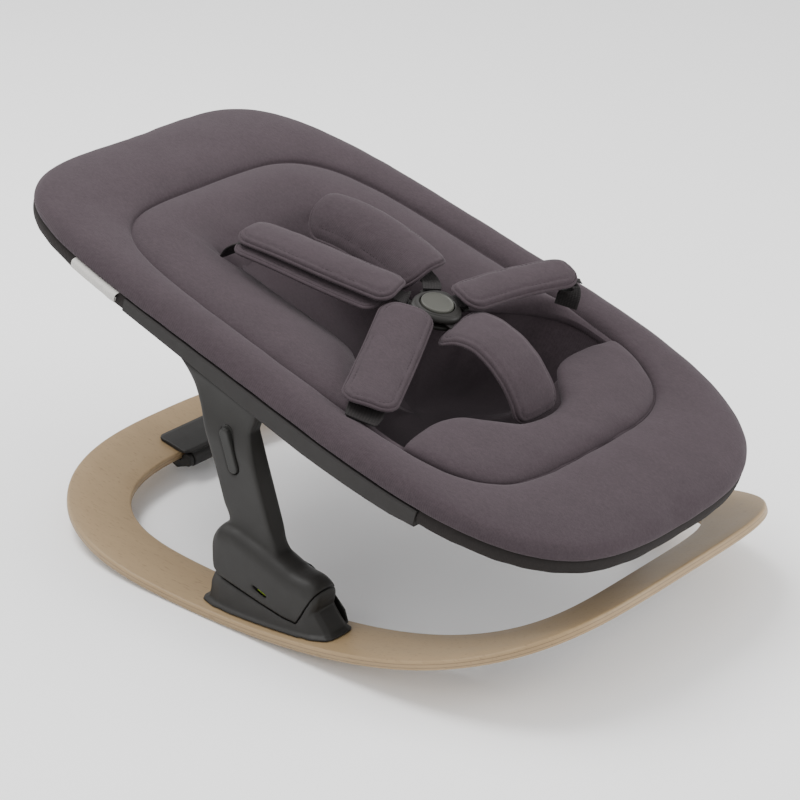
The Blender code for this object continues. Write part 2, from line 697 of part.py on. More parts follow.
def make_spring(name, start, axis, length, radius, wire, turns, parent):
    """Round-wire compression spring as a swept tube."""
    axis = Vector(axis).normalized()
    side = axis.orthogonal().normalized()
    other = axis.cross(side)
    count = turns * 9
    loops = []
    for i in range(count + 1):
        angle = 2 * math.pi * turns * i / count
        out = side * math.cos(angle) + other * math.sin(angle)
        centre = Vector(start) + axis * (wire + (length - 2 * wire) * i / count) + out * radius
        loops.append([centre + out * (wire * math.cos(2 * math.pi * k / 5))
                      + axis * (wire * math.sin(2 * math.pi * k / 5)) for k in range(5)])
    return add(name, loft(loops), "steel", parent)


# ---------------------------------------------------------------- seat
def seat_half_width(v, length=SEAT_LENGTH, width=SEAT_WIDTH, power=SEAT_POWER):
    """Half width of the seat outline at v."""
    ratio = min(abs(v) / (length / 2), 1.0)
    p = power[0] if v > 0 else power[1]
    return width / 2 * (1 - ratio ** p) ** (1 / p) * (1 + SEAT_TAPER * v)


def outline_at(angle, inset=0.0, width=SEAT_WIDTH, length=SEAT_LENGTH, power=SEAT_POWER):
    p = power[0] if math.sin(angle) > 0 else power[1]
    u, v = superellipse(angle, width / 2 - inset, length / 2 - inset, p)
    return u * (1 + SEAT_TAPER * v), v


def mirrored(points):
    """Closes a right-half outline (from the head to the foot) with its mirror image."""
    left = [(-u, v) for u, v in reversed(points[1:-1])]
    return list(points) + left


WELL_OUTLINE = mirrored([
    (0.0, 0.168), (0.055, 0.166), (0.083, 0.148), (0.094, 0.100), (0.108, 0.030), (0.122, -0.040),
    (0.131, -0.090), (0.1335, -0.122), (0.124, -0.140), (0.100, -0.142), (0.072, -0.151),
    (0.048, -0.171), (0.028, -0.189), (0.0, -0.195)])
HOLE_OUTLINE = mirrored([
    (0.0, 0.168), (0.055, 0.166), (0.083, 0.148), (0.094, 0.100), (0.108, 0.030), (0.122, -0.040),
    (0.131, -0.090), (0.140, -0.130), (0.150, -0.180), (0.146, -0.216), (0.125, -0.245),
    (0.080, -0.259), (0.0, -0.264)])


def ray_radius(outline, centre, angle):
    """Distance from a centre to a closed outline along a polar angle."""
    cu, cv = centre
    du, dv = math.cos(angle), math.sin(angle)
    best = 0.0
    for (u0, v0), (u1, v1) in zip(outline, outline[1:] + outline[:1]):
        eu, ev = u1 - u0, v1 - v0
        cross = du * ev - dv * eu
        if abs(cross) < 1e-12:
            continue
        r = ((u0 - cu) * ev - (v0 - cv) * eu) / cross
        t = ((u0 - cu) * dv - (v0 - cv) * du) / cross
        if r > 0 and -1e-9 <= t <= 1 + 1e-9:
            best = max(best, r)
    return best


def make_pad():
    """Ring cushion: outer ring, sewn groove, collar, and the hole over the well."""
    centre = (0.0, -0.03)
    outer_line = [outline_at(2 * math.pi * i / 180) for i in range(180)]
    seam_line = [outline_at(2 * math.pi * i / 180, 0.0, SEAM_WIDTH, SEAM_LENGTH, SEAM_POWER)
                 for i in range(180)]
    hole_line = spline(HOLE_OUTLINE, 6, closed=True)
    loops = []
    def rim(angle):
        r = ray_radius(outer_line, centre, angle)
        return centre[0] + r * math.cos(angle), centre[1] + r * math.sin(angle)

    for angle in spread(rim, -math.pi / 2, 1.5 * math.pi, 60)[:-1]:
        outer = ray_radius(outer_line, centre, angle)
        seam = ray_radius(seam_line, centre, angle)
        hole = ray_radius(hole_line, centre, angle)
        seam = max(seam, hole + 0.006)
        section = ((hole + 0.002, PAD_UNDER), (hole, 0.004), (hole + 0.006, 0.0125),
                   ((hole + seam) / 2, 0.0160), (seam - 0.004, 0.0125), (seam, 0.0100),
                   (seam + 0.008, 0.0130), ((seam + outer) / 2, 0.0145), (outer - 0.014, 0.0120),
                   (outer - 0.003, 0.0060), (outer, 0.0), (outer - 0.003, PAD_UNDER))
        loops.append([seat(centre[0] + r * math.cos(angle), centre[1] + r * math.sin(angle), n)
                      for r, n in section])
    return add("seat_pad", loft(loops, ring=True), "fabric", recline_axis, smooth=60)


def make_hammock():
    """Open fabric bag that hangs below the ring cushion, with a flange sewn under the cushions."""
    around = 40
    rim = spline(WELL_OUTLINE, 5, closed=True)
    flange = spline(HOLE_OUTLINE, 5, closed=True)
    top = PAD_UNDER - 0.0006

    def point(angle, share, deeper):
        toward_head = max(0.0, math.sin(angle)) ** 2
        power = 1.6 * toward_head + 4.2 * (1 - toward_head)
        r = ray_radius(rim, WELL_CENTRE, angle) * share + deeper * share ** 3
        n = top - WELL_DEPTH * (1 - min(share, 1.0) ** power) - deeper * (1 - share ** 6)
        return seat(WELL_CENTRE[0] + r * math.cos(angle), WELL_CENTRE[1] + r * math.sin(angle), n)

    def edge(angle, extra, n):
        r = ray_radius(flange, WELL_CENTRE, angle) + extra
        return seat(WELL_CENTRE[0] + r * math.cos(angle), WELL_CENTRE[1] + r * math.sin(angle), n)

    angles = [2 * math.pi * (k + 0.5) / around for k in range(around)]
    shares = (0.25, 0.50, 0.70, 0.84, 0.93, 0.985)
    loops = [[point(a, share, 0.0) for a in angles] for share in shares]
    loops.append([point(a, 1.0, 0.0) for a in angles])
    loops.append([edge(a, 0.008, top) for a in angles])
    loops.append([edge(a, 0.008, top - 0.0015) for a in angles])
    loops.append([edge(a, 0.0, top - 0.0015) for a in angles])
    loops += [[point(a, share, SKIN) for a in angles] for share in reversed(shares)]
    return add("hammock", loft(loops), "dark_fabric", recline_axis, smooth=60)


def make_legrest():
    """Crescent cushion at the foot end, with a notch for the crotch strap."""
    upper = [(0.1290, -0.1400), (0.1130, -0.1450), (0.0900, -0.1475), (0.0690, -0.1550),
             (0.0460, -0.1750), (0.0250, -0.1920), (0.0, -0.1980)]
    lower = [(0.1365, -0.1480), (0.1465, -0.1800), (0.1440, -0.2120), (0.1230, -0.2420),
             (0.0850, -0.2550), (0.0430, -0.2605), (0.0, -0.2620)]
    upper += [(-u, v) for u, v in reversed(upper[:-1])]
    lower += [(-u, v) for u, v in reversed(lower[:-1])]
    section = ((0.0, PAD_UNDER), (0.0, 0.004), (0.08, 0.010), (0.30, 0.0155), (0.65, 0.0155),
               (0.92, 0.0100), (1.0, 0.005), (1.0, PAD_UNDER))
    loops = []
    for (ua, va), (ub, vb) in zip(upper, lower):
        loops.append([seat(ua + (ub - ua) * f, va + (vb - va) * f, n) for f, n in section])
    return add("legrest_pad", loft(loops), "fabric", recline_axis, smooth=60)


def rim_start(end_v, inset):
    """Angle at which the inset outline reaches end_v."""
    low, high = 0.0, math.pi / 2
    sign = math.copysign(1.0, end_v)
    while high - low > 1e-7:
        angle = (low + high) / 2
        if abs(outline_at(sign * angle, inset)[1]) < abs(end_v):
            low = angle
        else:
            high = angle
    return low


def rim_path(end_v, inset):
    """Inset outline from the right rail round the head (end_v above zero) or foot to the left one."""
    sign = math.copysign(1.0, end_v)
    first = rim_start(end_v, 0.0)
    start = rim_start(end_v, inset)
    stretch = (math.pi - 2 * start) / (math.pi - 2 * first)
    angles = spread(outline_at, sign * first, sign * (math.pi - first), 34)
    return [outline_at(sign * (start + (abs(a) - first) * stretch), inset) for a in angles]


def tube_path(end_v):
    """Centre line of a frame tube, with a straight stub inside each rail."""
    path = rim_path(end_v, TUBE_INSET)
    stub_v = end_v - math.copysign(0.019, end_v)
    stub_u = seat_half_width(stub_v) - TUBE_INSET
    return [(stub_u, stub_v)] + path + [(-stub_u, stub_v)]


def make_tube(name, end_v):
    """Frame tube bent round one end of the seat, its ends inside the rails."""
    path = tube_path(end_v)
    loops = []
    for i, (u, v) in enumerate(path):
        u0, v0 = path[max(i - 1, 0)]
        u1, v1 = path[min(i + 1, len(path) - 1)]
        along = Vector((u1 - u0, v1 - v0)).normalized()
        across = (along.y, -along.x)
        loops.append([seat(u + across[0] * TUBE_R * math.cos(a), v + across[1] * TUBE_R * math.cos(a),
                           TUBE_N + TUBE_R * math.sin(a))
                      for a in (2 * math.pi * k / 10 for k in range(10))])
    return add(name, loft(loops), "tube", recline_axis)


def make_sleeve(name, end_v):
    """Fabric edge that wraps the frame tube under the cushion's seam."""
    section = ((0.0010, PAD_UNDER - GAP), (0.0005, -0.0105), (0.0020, -0.0185), (0.0060, -0.0205),
               (0.0200, -0.0205), (0.0200, -0.0188), (0.0065, -0.0188), (0.0026, -0.0165),
               (0.0022, PAD_UNDER - GAP))
    lines = [[seat(*point, n) for point in rim_path(end_v, inset)] for inset, n in section]
    return add(name, loft(list(zip(*lines))), "dark_fabric", recline_axis, smooth=60)


def make_rail(side, tag):
    """Moulded side rail between the two frame tubes."""
    steps = 14
    loops = []
    low_v, high_v = RAIL_V
    for i in range(steps + 1):
        v = low_v + (high_v - low_v) * i / steps
        half = seat_half_width(v) + 0.0003
        under = rail_under(v)
        top = PAD_UNDER - GAP
        section = ((half - 0.0012, top), (half, top - 0.0015), (half, under + 0.0030),
                   (half - 0.0030, under), (half - RAIL_WIDTH + 0.002, under),
                   (half - RAIL_WIDTH, under + 0.002), (half - RAIL_WIDTH, top))
        loops.append([seat(side * u, v, n) for u, n in section])
    rail = add("side_rail_" + tag, loft(loops), "rail_plastic", recline_axis)
    for name, end in (("foot", low_v - 0.001), ("head", high_v + 0.001)):
        inner, mouth = [seat(side * u, v, TUBE_N) for u, v in tube_path(end)[:2]]
        bore = add("cut_%s_bore_%s" % (name, tag), cylinder(mouth, mouth - inner, TUBE_R + 0.0009,
                                                            -0.026, 0.02, 14), None, recline_axis,
                   cutter=True)
        boolean(rail, "DIFFERENCE", bore)
    hole = add("cut_rail_pivot_" + tag, cylinder(PIVOT, (side, 0, 0), PIVOT_R + RUNNING, 0.17, 0.2125,
                                                 24), None, recline_axis, cutter=True)
    boolean(rail, "DIFFERENCE", hole)
    ring = ((PIVOT_R + 0.0006, 0.0), (0.0062, 0.0), (0.0062, 0.0006), (PIVOT_R + 0.0006, 0.0006))
    loops = []
    for k in range(16):
        a = 2 * math.pi * k / 16
        loops.append([PIVOT + Vector((side * (0.1932 + x), r * math.cos(a), r * math.sin(a)))
                      for r, x in ring])
    add("pivot_washer_" + tag, loft(loops, ring=True), "steel", legs)
    return rail


# ---------------------------------------------------------------- harness
def ribbon(name, path, width, thickness, slot, parent, side_dir=None, crown=0.0, steps=4):
    """Flat band along a seat-axes path; side_dir is its width direction in seat axes."""
    points = [seat(*p) for p in spline(path, steps)]
    loops = []
    for i, point in enumerate(points):
        along = (points[min(i + 1, len(points) - 1)] - points[max(i - 1, 0)]).normalized()
        if side_dir is None:
            across = along.cross(SEAT_N).normalized()
        else:
            u, v, n = side_dir
            across = Vector((u, 0, 0)) + SEAT_V * v + SEAT_N * n
            across = (across - along * across.dot(along)).normalized()
        up = across.cross(along).normalized()
        if up.dot(SEAT_N) < -1e-6:
            up = -up
        half, deep = width / 2, thickness / 2
        e = min(deep * 0.7, 0.003)
        section = ((-half, -deep + e), (-half, deep - e), (-half + e, deep), (0.0, deep + crown),
                   (half - e, deep), (half, deep - e), (half, -deep + e), (half - e, -deep),
                   (-half + e, -deep))
        loops.append([point + across * a + up * b for a, b in section])
    return add(name, loft(loops), slot, parent, smooth=50)


def make_harness():
    seat_body = recline_axis
    width, thick = WEBBING
    shoulder = {
        "left": [(-0.056, 0.1500, 0.0370), (-0.052, 0.100, 0.0440), (-0.041, 0.040, 0.0490),
                 (-0.0260, -0.0150, 0.0510)],
        "right": [(0.048, 0.1480, 0.0350), (0.048, 0.098, 0.0410), (0.042, 0.040, 0.0460),
                  (0.0270, -0.0130, 0.0500)],
    }
    waist = {
        "left": [(-0.0370, -0.0490, 0.0472), (-0.0950, -0.0780, 0.0385), (-0.1590, -0.1100, 0.0275)],
        "right": [(0.0330, -0.0630, 0.0530), (0.0850, -0.0800, 0.0590), (0.1440, -0.1000, 0.0640)],
    }
    for tag, side in (("left", -1), ("right", 1)):
        pad = shoulder[tag]
        ribbon("shoulder_pad_" + tag, pad, 0.046, 0.0085, "fabric", seat_body, (1, 0, 0), 0.0015)
        strap = [(side * 0.0480, 0.1600, 0.0165)] + [(u, v, n - 0.0080) for u, v, n in pad]
        strap.append((side * 0.0250, -0.0215, 0.0458))
        ribbon("shoulder_strap_" + tag, strap, width, thick, "webbing", seat_body, (1, 0, 0), 0, 3)
        pad = waist[tag]
        ribbon("waist_pad_" + tag, pad, 0.050, 0.0085, "fabric", seat_body, None, 0.0015)
        last = pad[-1]
        strap = [(-0.0350, -0.0600, 0.0298)] if side < 0 else [(0.0395, -0.0625, 0.0402)]
        strap += [(u, v, n - 0.0075) for u, v, n in pad[1:]]
        if side > 0:
            strap += [(last[0] + 0.0030, last[1] - 0.003, last[2] - 0.0090)]
            strap += [(0.1500, -0.1060, 0.0430), (0.1450, -0.1080, 0.0290)]
        else:
            strap += [(last[0] - 0.0130, last[1] - 0.004, last[2] - 0.0088)]
        ribbon("waist_strap_" + tag, strap, width * 0.8, thick, "webbing", seat_body, None, 0, 3)
    crotch = [(0.0, -0.0820, 0.0445), (0.0, -0.1090, 0.0490), (0.0, -0.1400, 0.0460),
              (0.0, -0.1660, 0.0340), (0.0, -0.1815, 0.0160), (0.0, -0.1865, 0.0040)]
    ribbon("crotch_pad", crotch, 0.055, 0.0085, "fabric", seat_body, (1, 0, 0), 0.0015)
    lower = [(0.0, -0.0822, 0.0362)] + [(u, v + 0.0050 * (n < 0.040), n - 0.0080) for u, v, n in
                                        crotch[1:-2]] + [(0.0, -0.1735, 0.0080),
                                                         (0.0, -0.1765, 0.0010)]
    ribbon("crotch_strap", lower, width, thick, "webbing", seat_body, (1, 0, 0), 0, 3)
    make_buckle(seat_body)


def make_buckle(seat_body):
    """Round buckle with a press button, and four tongues between its two halves."""
    def at(r, angle, n):
        return seat(BUCKLE[0] + r * math.cos(angle), BUCKLE[1] + r * math.sin(angle), n + BUCKLE_RISE)

    def lobed(angle, r):
        lobes = (25, 155, 270)
        swell = max(math.exp(-((math.degrees(angle) - a + 180) % 360 - 180) ** 2 / 900) for a in lobes)
        return r * (1 + 0.16 * swell)

    count = 36
    angles = [2 * math.pi * k / count for k in range(count)]
    back = [(0.0215, 0.0335), (0.0235, 0.0345), (0.0235, 0.0375), (0.0215, 0.0384)]
    loops = [[at(lobed(a, r), a, n) for a in angles] for r, n in back]
    add("buckle_back", loft(loops), "plastic", seat_body)
    rim = ((0.0174, 0.0418), (0.0225, 0.0418), (0.0240, 0.0430), (0.0238, 0.0465), (0.0222, 0.0492),
           (0.0196, 0.0500), (0.0176, 0.0492))
    loops = []
    for a in angles:
        loops.append([at(lobed(a, r) if r > 0.02 else r, a, n) for r, n in rim])
    add("buckle_front", loft(loops, ring=True), "plastic", seat_body)
    press = ((0.0150, 0.0462), (BUTTON_R, 0.0466), (BUTTON_R, 0.0508), (0.0158, 0.0518),
             (0.0120, 0.0512), (0.0050, 0.0508))
    loops = [[at(r, a, n) for a in angles] for r, n in press]
    add("buckle_button", loft(loops), "button", buckle_axis)
    make_spring("buckle_spring", seat(*BUCKLE, 0.0408 + BUCKLE_RISE), SEAT_N, 0.0050, 0.0060, 0.0005, 2,
                buckle_axis)
    plates = {"shoulder_tongue_left": (125, 0.0345), "shoulder_tongue_right": (55, 0.0345),
              "waist_tongue_left": (196, 0.0370), "waist_tongue_right": (346, 0.0370)}
    for name, (degrees, reach) in plates.items():
        angle = math.radians(degrees)
        loops = []
        for n in (0.0388, 0.0394, 0.0409, 0.0414):
            trim = 0.0006 if n in (0.0388, 0.0414) else 0.0
            loop = []
            for r, w in ((0.0125, -0.0062), (reach - 0.004, -0.0080), (reach, -0.0060),
                         (reach, 0.0060), (reach - 0.004, 0.0080), (0.0125, 0.0062)):
                w -= math.copysign(trim, w)
                u = BUCKLE[0] + r * math.cos(angle) - w * math.sin(angle)
                v = BUCKLE[1] + r * math.sin(angle) + w * math.cos(angle)
                loop.append(seat(u, v, n + BUCKLE_RISE))
            loops.append(loop)
        add(name, loft(loops), "plastic", seat_body)


def make_label():
    """Blank woven loop under the cushion's seam on the left side."""
    loops = []
    for i in range(5):
        v = 0.174 + 0.070 * i / 4
        half = seat_half_width(v)
        section = ((half + 0.0004, -0.0042), (half + 0.0030, -0.0060), (half + 0.0030, -0.0125),
                   (half + 0.0006, -0.0140))
        loops.append([seat(-u, v, n) for u, n in section])
    return add("side_label", loft(loops), "label", recline_axis)


def make_seat():
    make_pad()
    make_hammock()
    make_legrest()
    for end, end_v in (("head", RAIL_V[1] + 0.001), ("foot", RAIL_V[0] - 0.001)):
        make_tube(end + "_tube", end_v)
        make_sleeve(end + "_sleeve", end_v)
    for side, tag in ((-1, "left"), (1, "right")):
        make_rail(side, tag)
    make_label()
    make_harness()


make_base()
for leg_side, leg_tag in ((-1, "left"), (1, "right")):
    make_leg(leg_side, leg_tag)
make_seat()
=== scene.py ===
"""Looks for the bouncer seat: cloth, padding, moulded plastic, plywood, light and camera."""
import json
import math

import bmesh
import bpy
import numpy as np
from mathutils import Matrix, Vector, noise


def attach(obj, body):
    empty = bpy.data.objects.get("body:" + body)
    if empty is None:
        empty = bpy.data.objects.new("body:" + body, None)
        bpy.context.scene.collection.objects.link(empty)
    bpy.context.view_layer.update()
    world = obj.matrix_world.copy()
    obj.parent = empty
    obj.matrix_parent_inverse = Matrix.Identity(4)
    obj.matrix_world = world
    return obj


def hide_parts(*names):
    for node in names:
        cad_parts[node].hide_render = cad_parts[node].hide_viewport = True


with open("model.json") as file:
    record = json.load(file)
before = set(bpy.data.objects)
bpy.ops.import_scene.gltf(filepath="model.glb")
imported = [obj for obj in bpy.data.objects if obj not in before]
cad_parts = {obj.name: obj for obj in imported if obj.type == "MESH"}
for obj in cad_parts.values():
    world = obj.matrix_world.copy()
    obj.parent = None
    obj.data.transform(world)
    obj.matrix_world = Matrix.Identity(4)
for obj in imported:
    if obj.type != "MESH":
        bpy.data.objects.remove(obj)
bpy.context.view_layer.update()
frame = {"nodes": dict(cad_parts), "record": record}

# -------- driving dimensions, as in the CAD
SHIFT_Y = 0.009

PLY = 0.01
ROCKER_LOW_Y = 0.0342 + SHIFT_Y
ROCKER_CURVE = (0.4429, -0.1578, 0.0797)
RING_HALF_WIDTH = 0.2447
RING_ARM = 0.0639
# Where an end's curve starts and ends along Y, its width, and its outer and inner power
RING_HEAD = ((0.0872 + SHIFT_Y, 0.3266 + SHIFT_Y), 0.0711, (2.73, 3.2))
RING_FOOT = ((-0.0249 + SHIFT_Y, -0.3799 + SHIFT_Y), 0.0546, (4.08, 4.5))
RING_EDGE = 0.0026

SEAT_TILT = math.radians(15.7)
SEAT_ORIGIN = Vector((0.0, -0.0096 + SHIFT_Y, 0.2517))
SEAT_WIDTH = 0.43
SEAT_LENGTH = 0.7604
SEAT_POWER = (4.77, 3.27)
SEAT_TAPER = -0.1419
SEAT_BOW = 0.039
# Width, length and powers of the sewn groove's outline
SEAM = (0.333, 0.53, (4.6, 4.25))
PAD_UNDER = -0.0035
CLOTH_UNDER = PAD_UNDER + 0.0004
RAIL_V = (-0.224, 0.164)
WELL_DEPTH = 0.082
WELL_CENTRE = (0.0, -0.06)
COVER_CENTRE = (0.0, -0.03)
SLOT = (0.07, 0.155)
BUCKLE = (0.0, -0.052)
BUCKLE_RISE = -0.0045
STITCH_INSET = 0.0052
STITCH_LENGTH = 0.0034
THREAD_RADIUS = 0.0003
PIPING_RADIUS = 0.0019
ROUTE_STEP = 0.0016

# Camera
AIM = Vector((0.0047, -0.0105, 0.1592))
AZIMUTH, ELEVATION, DISTANCE = math.radians(-49.143), math.radians(25.078), 2.7269
LENS = 121.64


# -------- shader helpers
def assign(thing, **settings):
    for key, value in settings.items():
        setattr(thing, key, value)
    return thing


class Shader:
    """Short-hand for building one material's nodes."""

    def __init__(self, name, roughness=0.5, metallic=0.0, specular=0.5):
        self.material = bpy.data.materials.new(name)
        self.material.use_nodes = True
        self.tree = self.material.node_tree
        self.surface = self.tree.nodes["Principled BSDF"]
        self.finish(Roughness=roughness, Metallic=metallic, Specular_IOR_Level=specular)
        self.place = self.node("ShaderNodeTexCoord").outputs["Object"]

    def finish(self, **inputs):
        self.feed(self.surface, **inputs)

    def node(self, kind, **settings):
        return assign(self.tree.nodes.new(kind), **settings)

    def put(self, value, socket):
        """Links a node's output to the socket, or sets the socket to a plain value."""
        if hasattr(value, "links"):
            self.tree.links.new(value, socket)
        else:
            socket.default_value = value

    def feed(self, step, **inputs):
        """Fills a node's inputs by name and returns its outputs."""
        for name, value in inputs.items():
            self.put(value, step.inputs[name.replace("_", " ")])
        return step.outputs

    def math(self, operation, a, b=0.0, c=0.0, clamp=False):
        step = self.node("ShaderNodeMath", operation=operation, use_clamp=clamp)
        for socket, value in zip(step.inputs, (a, b, c)):
            self.put(value, socket)
        return step.outputs[0]

    def mapped(self, scale, rotation=(0.0, 0.0, 0.0)):
        step = self.node("ShaderNodeMapping")
        return self.feed(step, Scale=scale, Rotation=rotation, Vector=self.place)[0]

    def noise(self, scale, detail=2.0, vector=None, roughness=0.5):
        step = self.node("ShaderNodeTexNoise")
        return self.feed(step, Scale=scale, Detail=detail, Roughness=roughness,
                         Vector=vector or self.place)[0]

    def wave(self, scale, vector, distortion, axis="X"):
        step = self.node("ShaderNodeTexWave", bands_direction=axis)
        return self.feed(step, Scale=scale, Distortion=distortion, Detail=1.0, Vector=vector)["Fac"]

    def attribute(self, name):
        return self.node("ShaderNodeAttribute", attribute_name=name).outputs["Fac"]

    def mix(self, factor, a, b):
        step = self.node("ShaderNodeMix", data_type="RGBA")
        self.put(factor, step.inputs[0])
        for socket, value in ((step.inputs[6], a), (step.inputs[7], b)):
            self.put(value if hasattr(value, "links") else (*value, 1.0), socket)
        return step.outputs[2]

    def bump(self, *heights):
        """Stacks (height, distance, strength) bumps."""
        normal = None
        for height, distance, strength in heights:
            step = self.node("ShaderNodeBump")
            if normal:
                self.feed(step, Normal=normal)
            normal = self.feed(step, Height=height, Distance=distance, Strength=strength)[0]
        self.finish(Normal=normal)


def span(shader, value, low, high):
    """Remaps a 0 to 1 value to low to high."""
    return shader.math("MULTIPLY_ADD", value, high - low, low)


# -------- materials
def fabric(name, light, dark, sheen=0.1, weave=330.0, deep=None):
    """Melange twill: fine diagonal ribs, mottled yarn, and a soft sheen; a deep colour, if given, is painted
    shade mixed in by the depth attribute.
    """
    s = Shader(name, roughness=0.92, specular=0.18)
    s.finish(Sheen_Weight=sheen, Sheen_Roughness=0.45, Sheen_Tint=(0.72, 0.66, 0.7, 1.0))
    ribs = s.wave(weave, s.mapped((1.0, 0.55, 0.8), (0.0, 0.0, 0.6)), 1.2)
    cross = s.wave(weave * 1.3, s.mapped((0.6, 1.0, 0.7), (0.0, 0.0, -0.5)), 1.5, "Y")
    yarn = s.noise(1100.0, 3.0, roughness=0.65)
    cloud = s.noise(26.0, 2.0)
    slub = s.noise(430.0, 2.0, s.mapped((1.0, 0.45, 0.7), (0.0, 0.0, 0.5)), 0.6)
    mottled = s.math("MULTIPLY_ADD", yarn, 0.55, s.math("MULTIPLY", ribs, 0.22))
    mottled = s.math("MULTIPLY_ADD", slub, 0.42, s.math("SUBTRACT", mottled, 0.19))
    mottled = s.math("MULTIPLY_ADD", cloud, 0.16, s.math("SUBTRACT", mottled, 0.02), clamp=True)
    colour = s.mix(mottled, dark, light)
    # Painted shade: darkens the cloth towards the deep colour by the depth attribute, for the shade down in
    # the well.
    if deep:
        colour = s.mix(s.attribute("depth"), colour, deep)
    s.finish(Base_Color=colour)
    fine = s.math("ADD", s.math("MULTIPLY", ribs, 0.6), s.math("MULTIPLY", cross, 0.4))
    s.bump((s.noise(48.0, 2.0), 0.002, 0.1), (slub, 0.0004, 0.16), (fine, 0.00022, 0.45),
           (yarn, 0.00025, 0.4))
    return s.material


def webbing(name, light, dark):
    """Woven tape: ribs across it and a raised edge."""
    s = Shader(name, roughness=0.8, specular=0.25)
    along = s.attribute("along")
    across = s.attribute("across")
    rib = s.math("SINE", s.math("MULTIPLY", along, math.tau / 0.0016))
    cord = s.math("SINE", s.math("MULTIPLY", across, math.tau / 0.0028))
    weave = s.math("MULTIPLY_ADD", rib, 0.35, s.math("MULTIPLY_ADD", cord, 0.25, 0.5), clamp=True)
    s.finish(Base_Color=s.mix(s.math("MULTIPLY", weave, s.noise(900.0)), dark, light))
    s.bump((weave, 0.0005, 0.6), (s.noise(1400.0), 0.0002, 0.4))
    return s.material


def plastic(name, light, dark, roughness=(0.44, 0.6), grain=2600.0, strength=0.35):
    """Fine-textured moulding."""
    s = Shader(name, specular=0.3)
    cloud = s.noise(22.0, 3.0)
    spark = s.noise(grain, 2.0, roughness=0.6)
    blend = s.math("MULTIPLY_ADD", cloud, 0.7, s.math("MULTIPLY", spark, 0.3))
    s.finish(Base_Color=s.mix(blend, dark, light))
    s.finish(Roughness=span(s, s.noise(60.0, 4.0), *roughness))
    s.bump((spark, 0.00012, strength), (s.noise(140.0), 0.0004, 0.06))
    return s.material


def metal(name, colour, roughness):
    s = Shader(name, metallic=1.0)
    brushed = s.noise(300.0, 3.0, s.mapped((1.0, 9.0, 9.0)))
    dull = tuple(0.7 * c for c in colour)
    s.finish(Base_Color=s.mix(brushed, dull, colour))
    s.finish(Roughness=span(s, brushed, roughness - 0.1, roughness + 0.1))
    s.bump((brushed, 0.00005, 0.3))
    return s.material


def plywood(name):
    """Pale beech veneer with short flecks; two glue lines show on the sheet's edge."""
    s = Shader(name, roughness=0.52, specular=0.35)
    s.finish(Coat_Weight=0.12, Coat_Roughness=0.35)
    warp = s.noise(3.0, 2.0)
    grain = s.noise(1.0, 5.0, s.mapped((170.0, 7.0, 170.0)), 0.62)
    bands = s.noise(1.0, 2.0, s.mapped((26.0, 1.6, 26.0)))
    fleck = s.noise(1.0, 1.0, s.mapped((620.0, 95.0, 620.0)), 0.4)
    fleck = s.math("SMOOTH_MAX", s.math("MULTIPLY", s.math("SUBTRACT", fleck, 0.6), 5.0), 0.0, 0.05,
                   clamp=True)
    tone = s.math("MULTIPLY_ADD", grain, 0.55, s.math("MULTIPLY_ADD", bands, 0.45, -0.02), clamp=True)
    tone = s.math("MULTIPLY_ADD", warp, 0.25, s.math("SUBTRACT", tone, 0.12), clamp=True)
    face = s.mix(tone, WOOD_DARK, WOOD_LIGHT)
    face = s.mix(s.math("MULTIPLY", fleck, 0.5), face, WOOD_FLECK)
    # Height over the sheet's underside, from the rocker's polynomial
    parts = s.node("ShaderNodeSeparateXYZ")
    s.feed(parts, Vector=s.place)
    d = s.math("SUBTRACT", parts.outputs[1], ROCKER_LOW_Y)
    curve = s.math("MULTIPLY_ADD", d, ROCKER_CURVE[2], ROCKER_CURVE[1])
    curve = s.math("MULTIPLY_ADD", curve, d, ROCKER_CURVE[0])
    under = s.math("MULTIPLY", s.math("MULTIPLY", d, d), curve)
    height = s.math("SUBTRACT", parts.outputs[2], under)
    edge = None
    for level in (0.0031, 0.0067):
        line = s.math("ABSOLUTE", s.math("SUBTRACT", height, level))
        line = s.math("SUBTRACT", 1.0, s.math("DIVIDE", line, 0.0007), clamp=True)
        edge = line if edge is None else s.math("MAXIMUM", edge, line)
    s.finish(Base_Color=s.mix(s.math("MULTIPLY", edge, 0.62), face, GLUE_LINE))
    s.finish(Roughness=span(s, grain, 0.42, 0.6))
    s.bump((grain, 0.00022, 0.3), (fleck, 0.00012, 0.3), (edge, 0.0003, 0.4))
    return s.material


WOOD_LIGHT = (0.358, 0.254, 0.138)
WOOD_DARK = (0.226, 0.151, 0.074)
WOOD_FLECK = (0.15, 0.092, 0.046)
GLUE_LINE = (0.085, 0.05, 0.026)
FABRIC_LIGHT = (0.074, 0.056, 0.064)
FABRIC_DARK = (0.024, 0.0176, 0.0205)

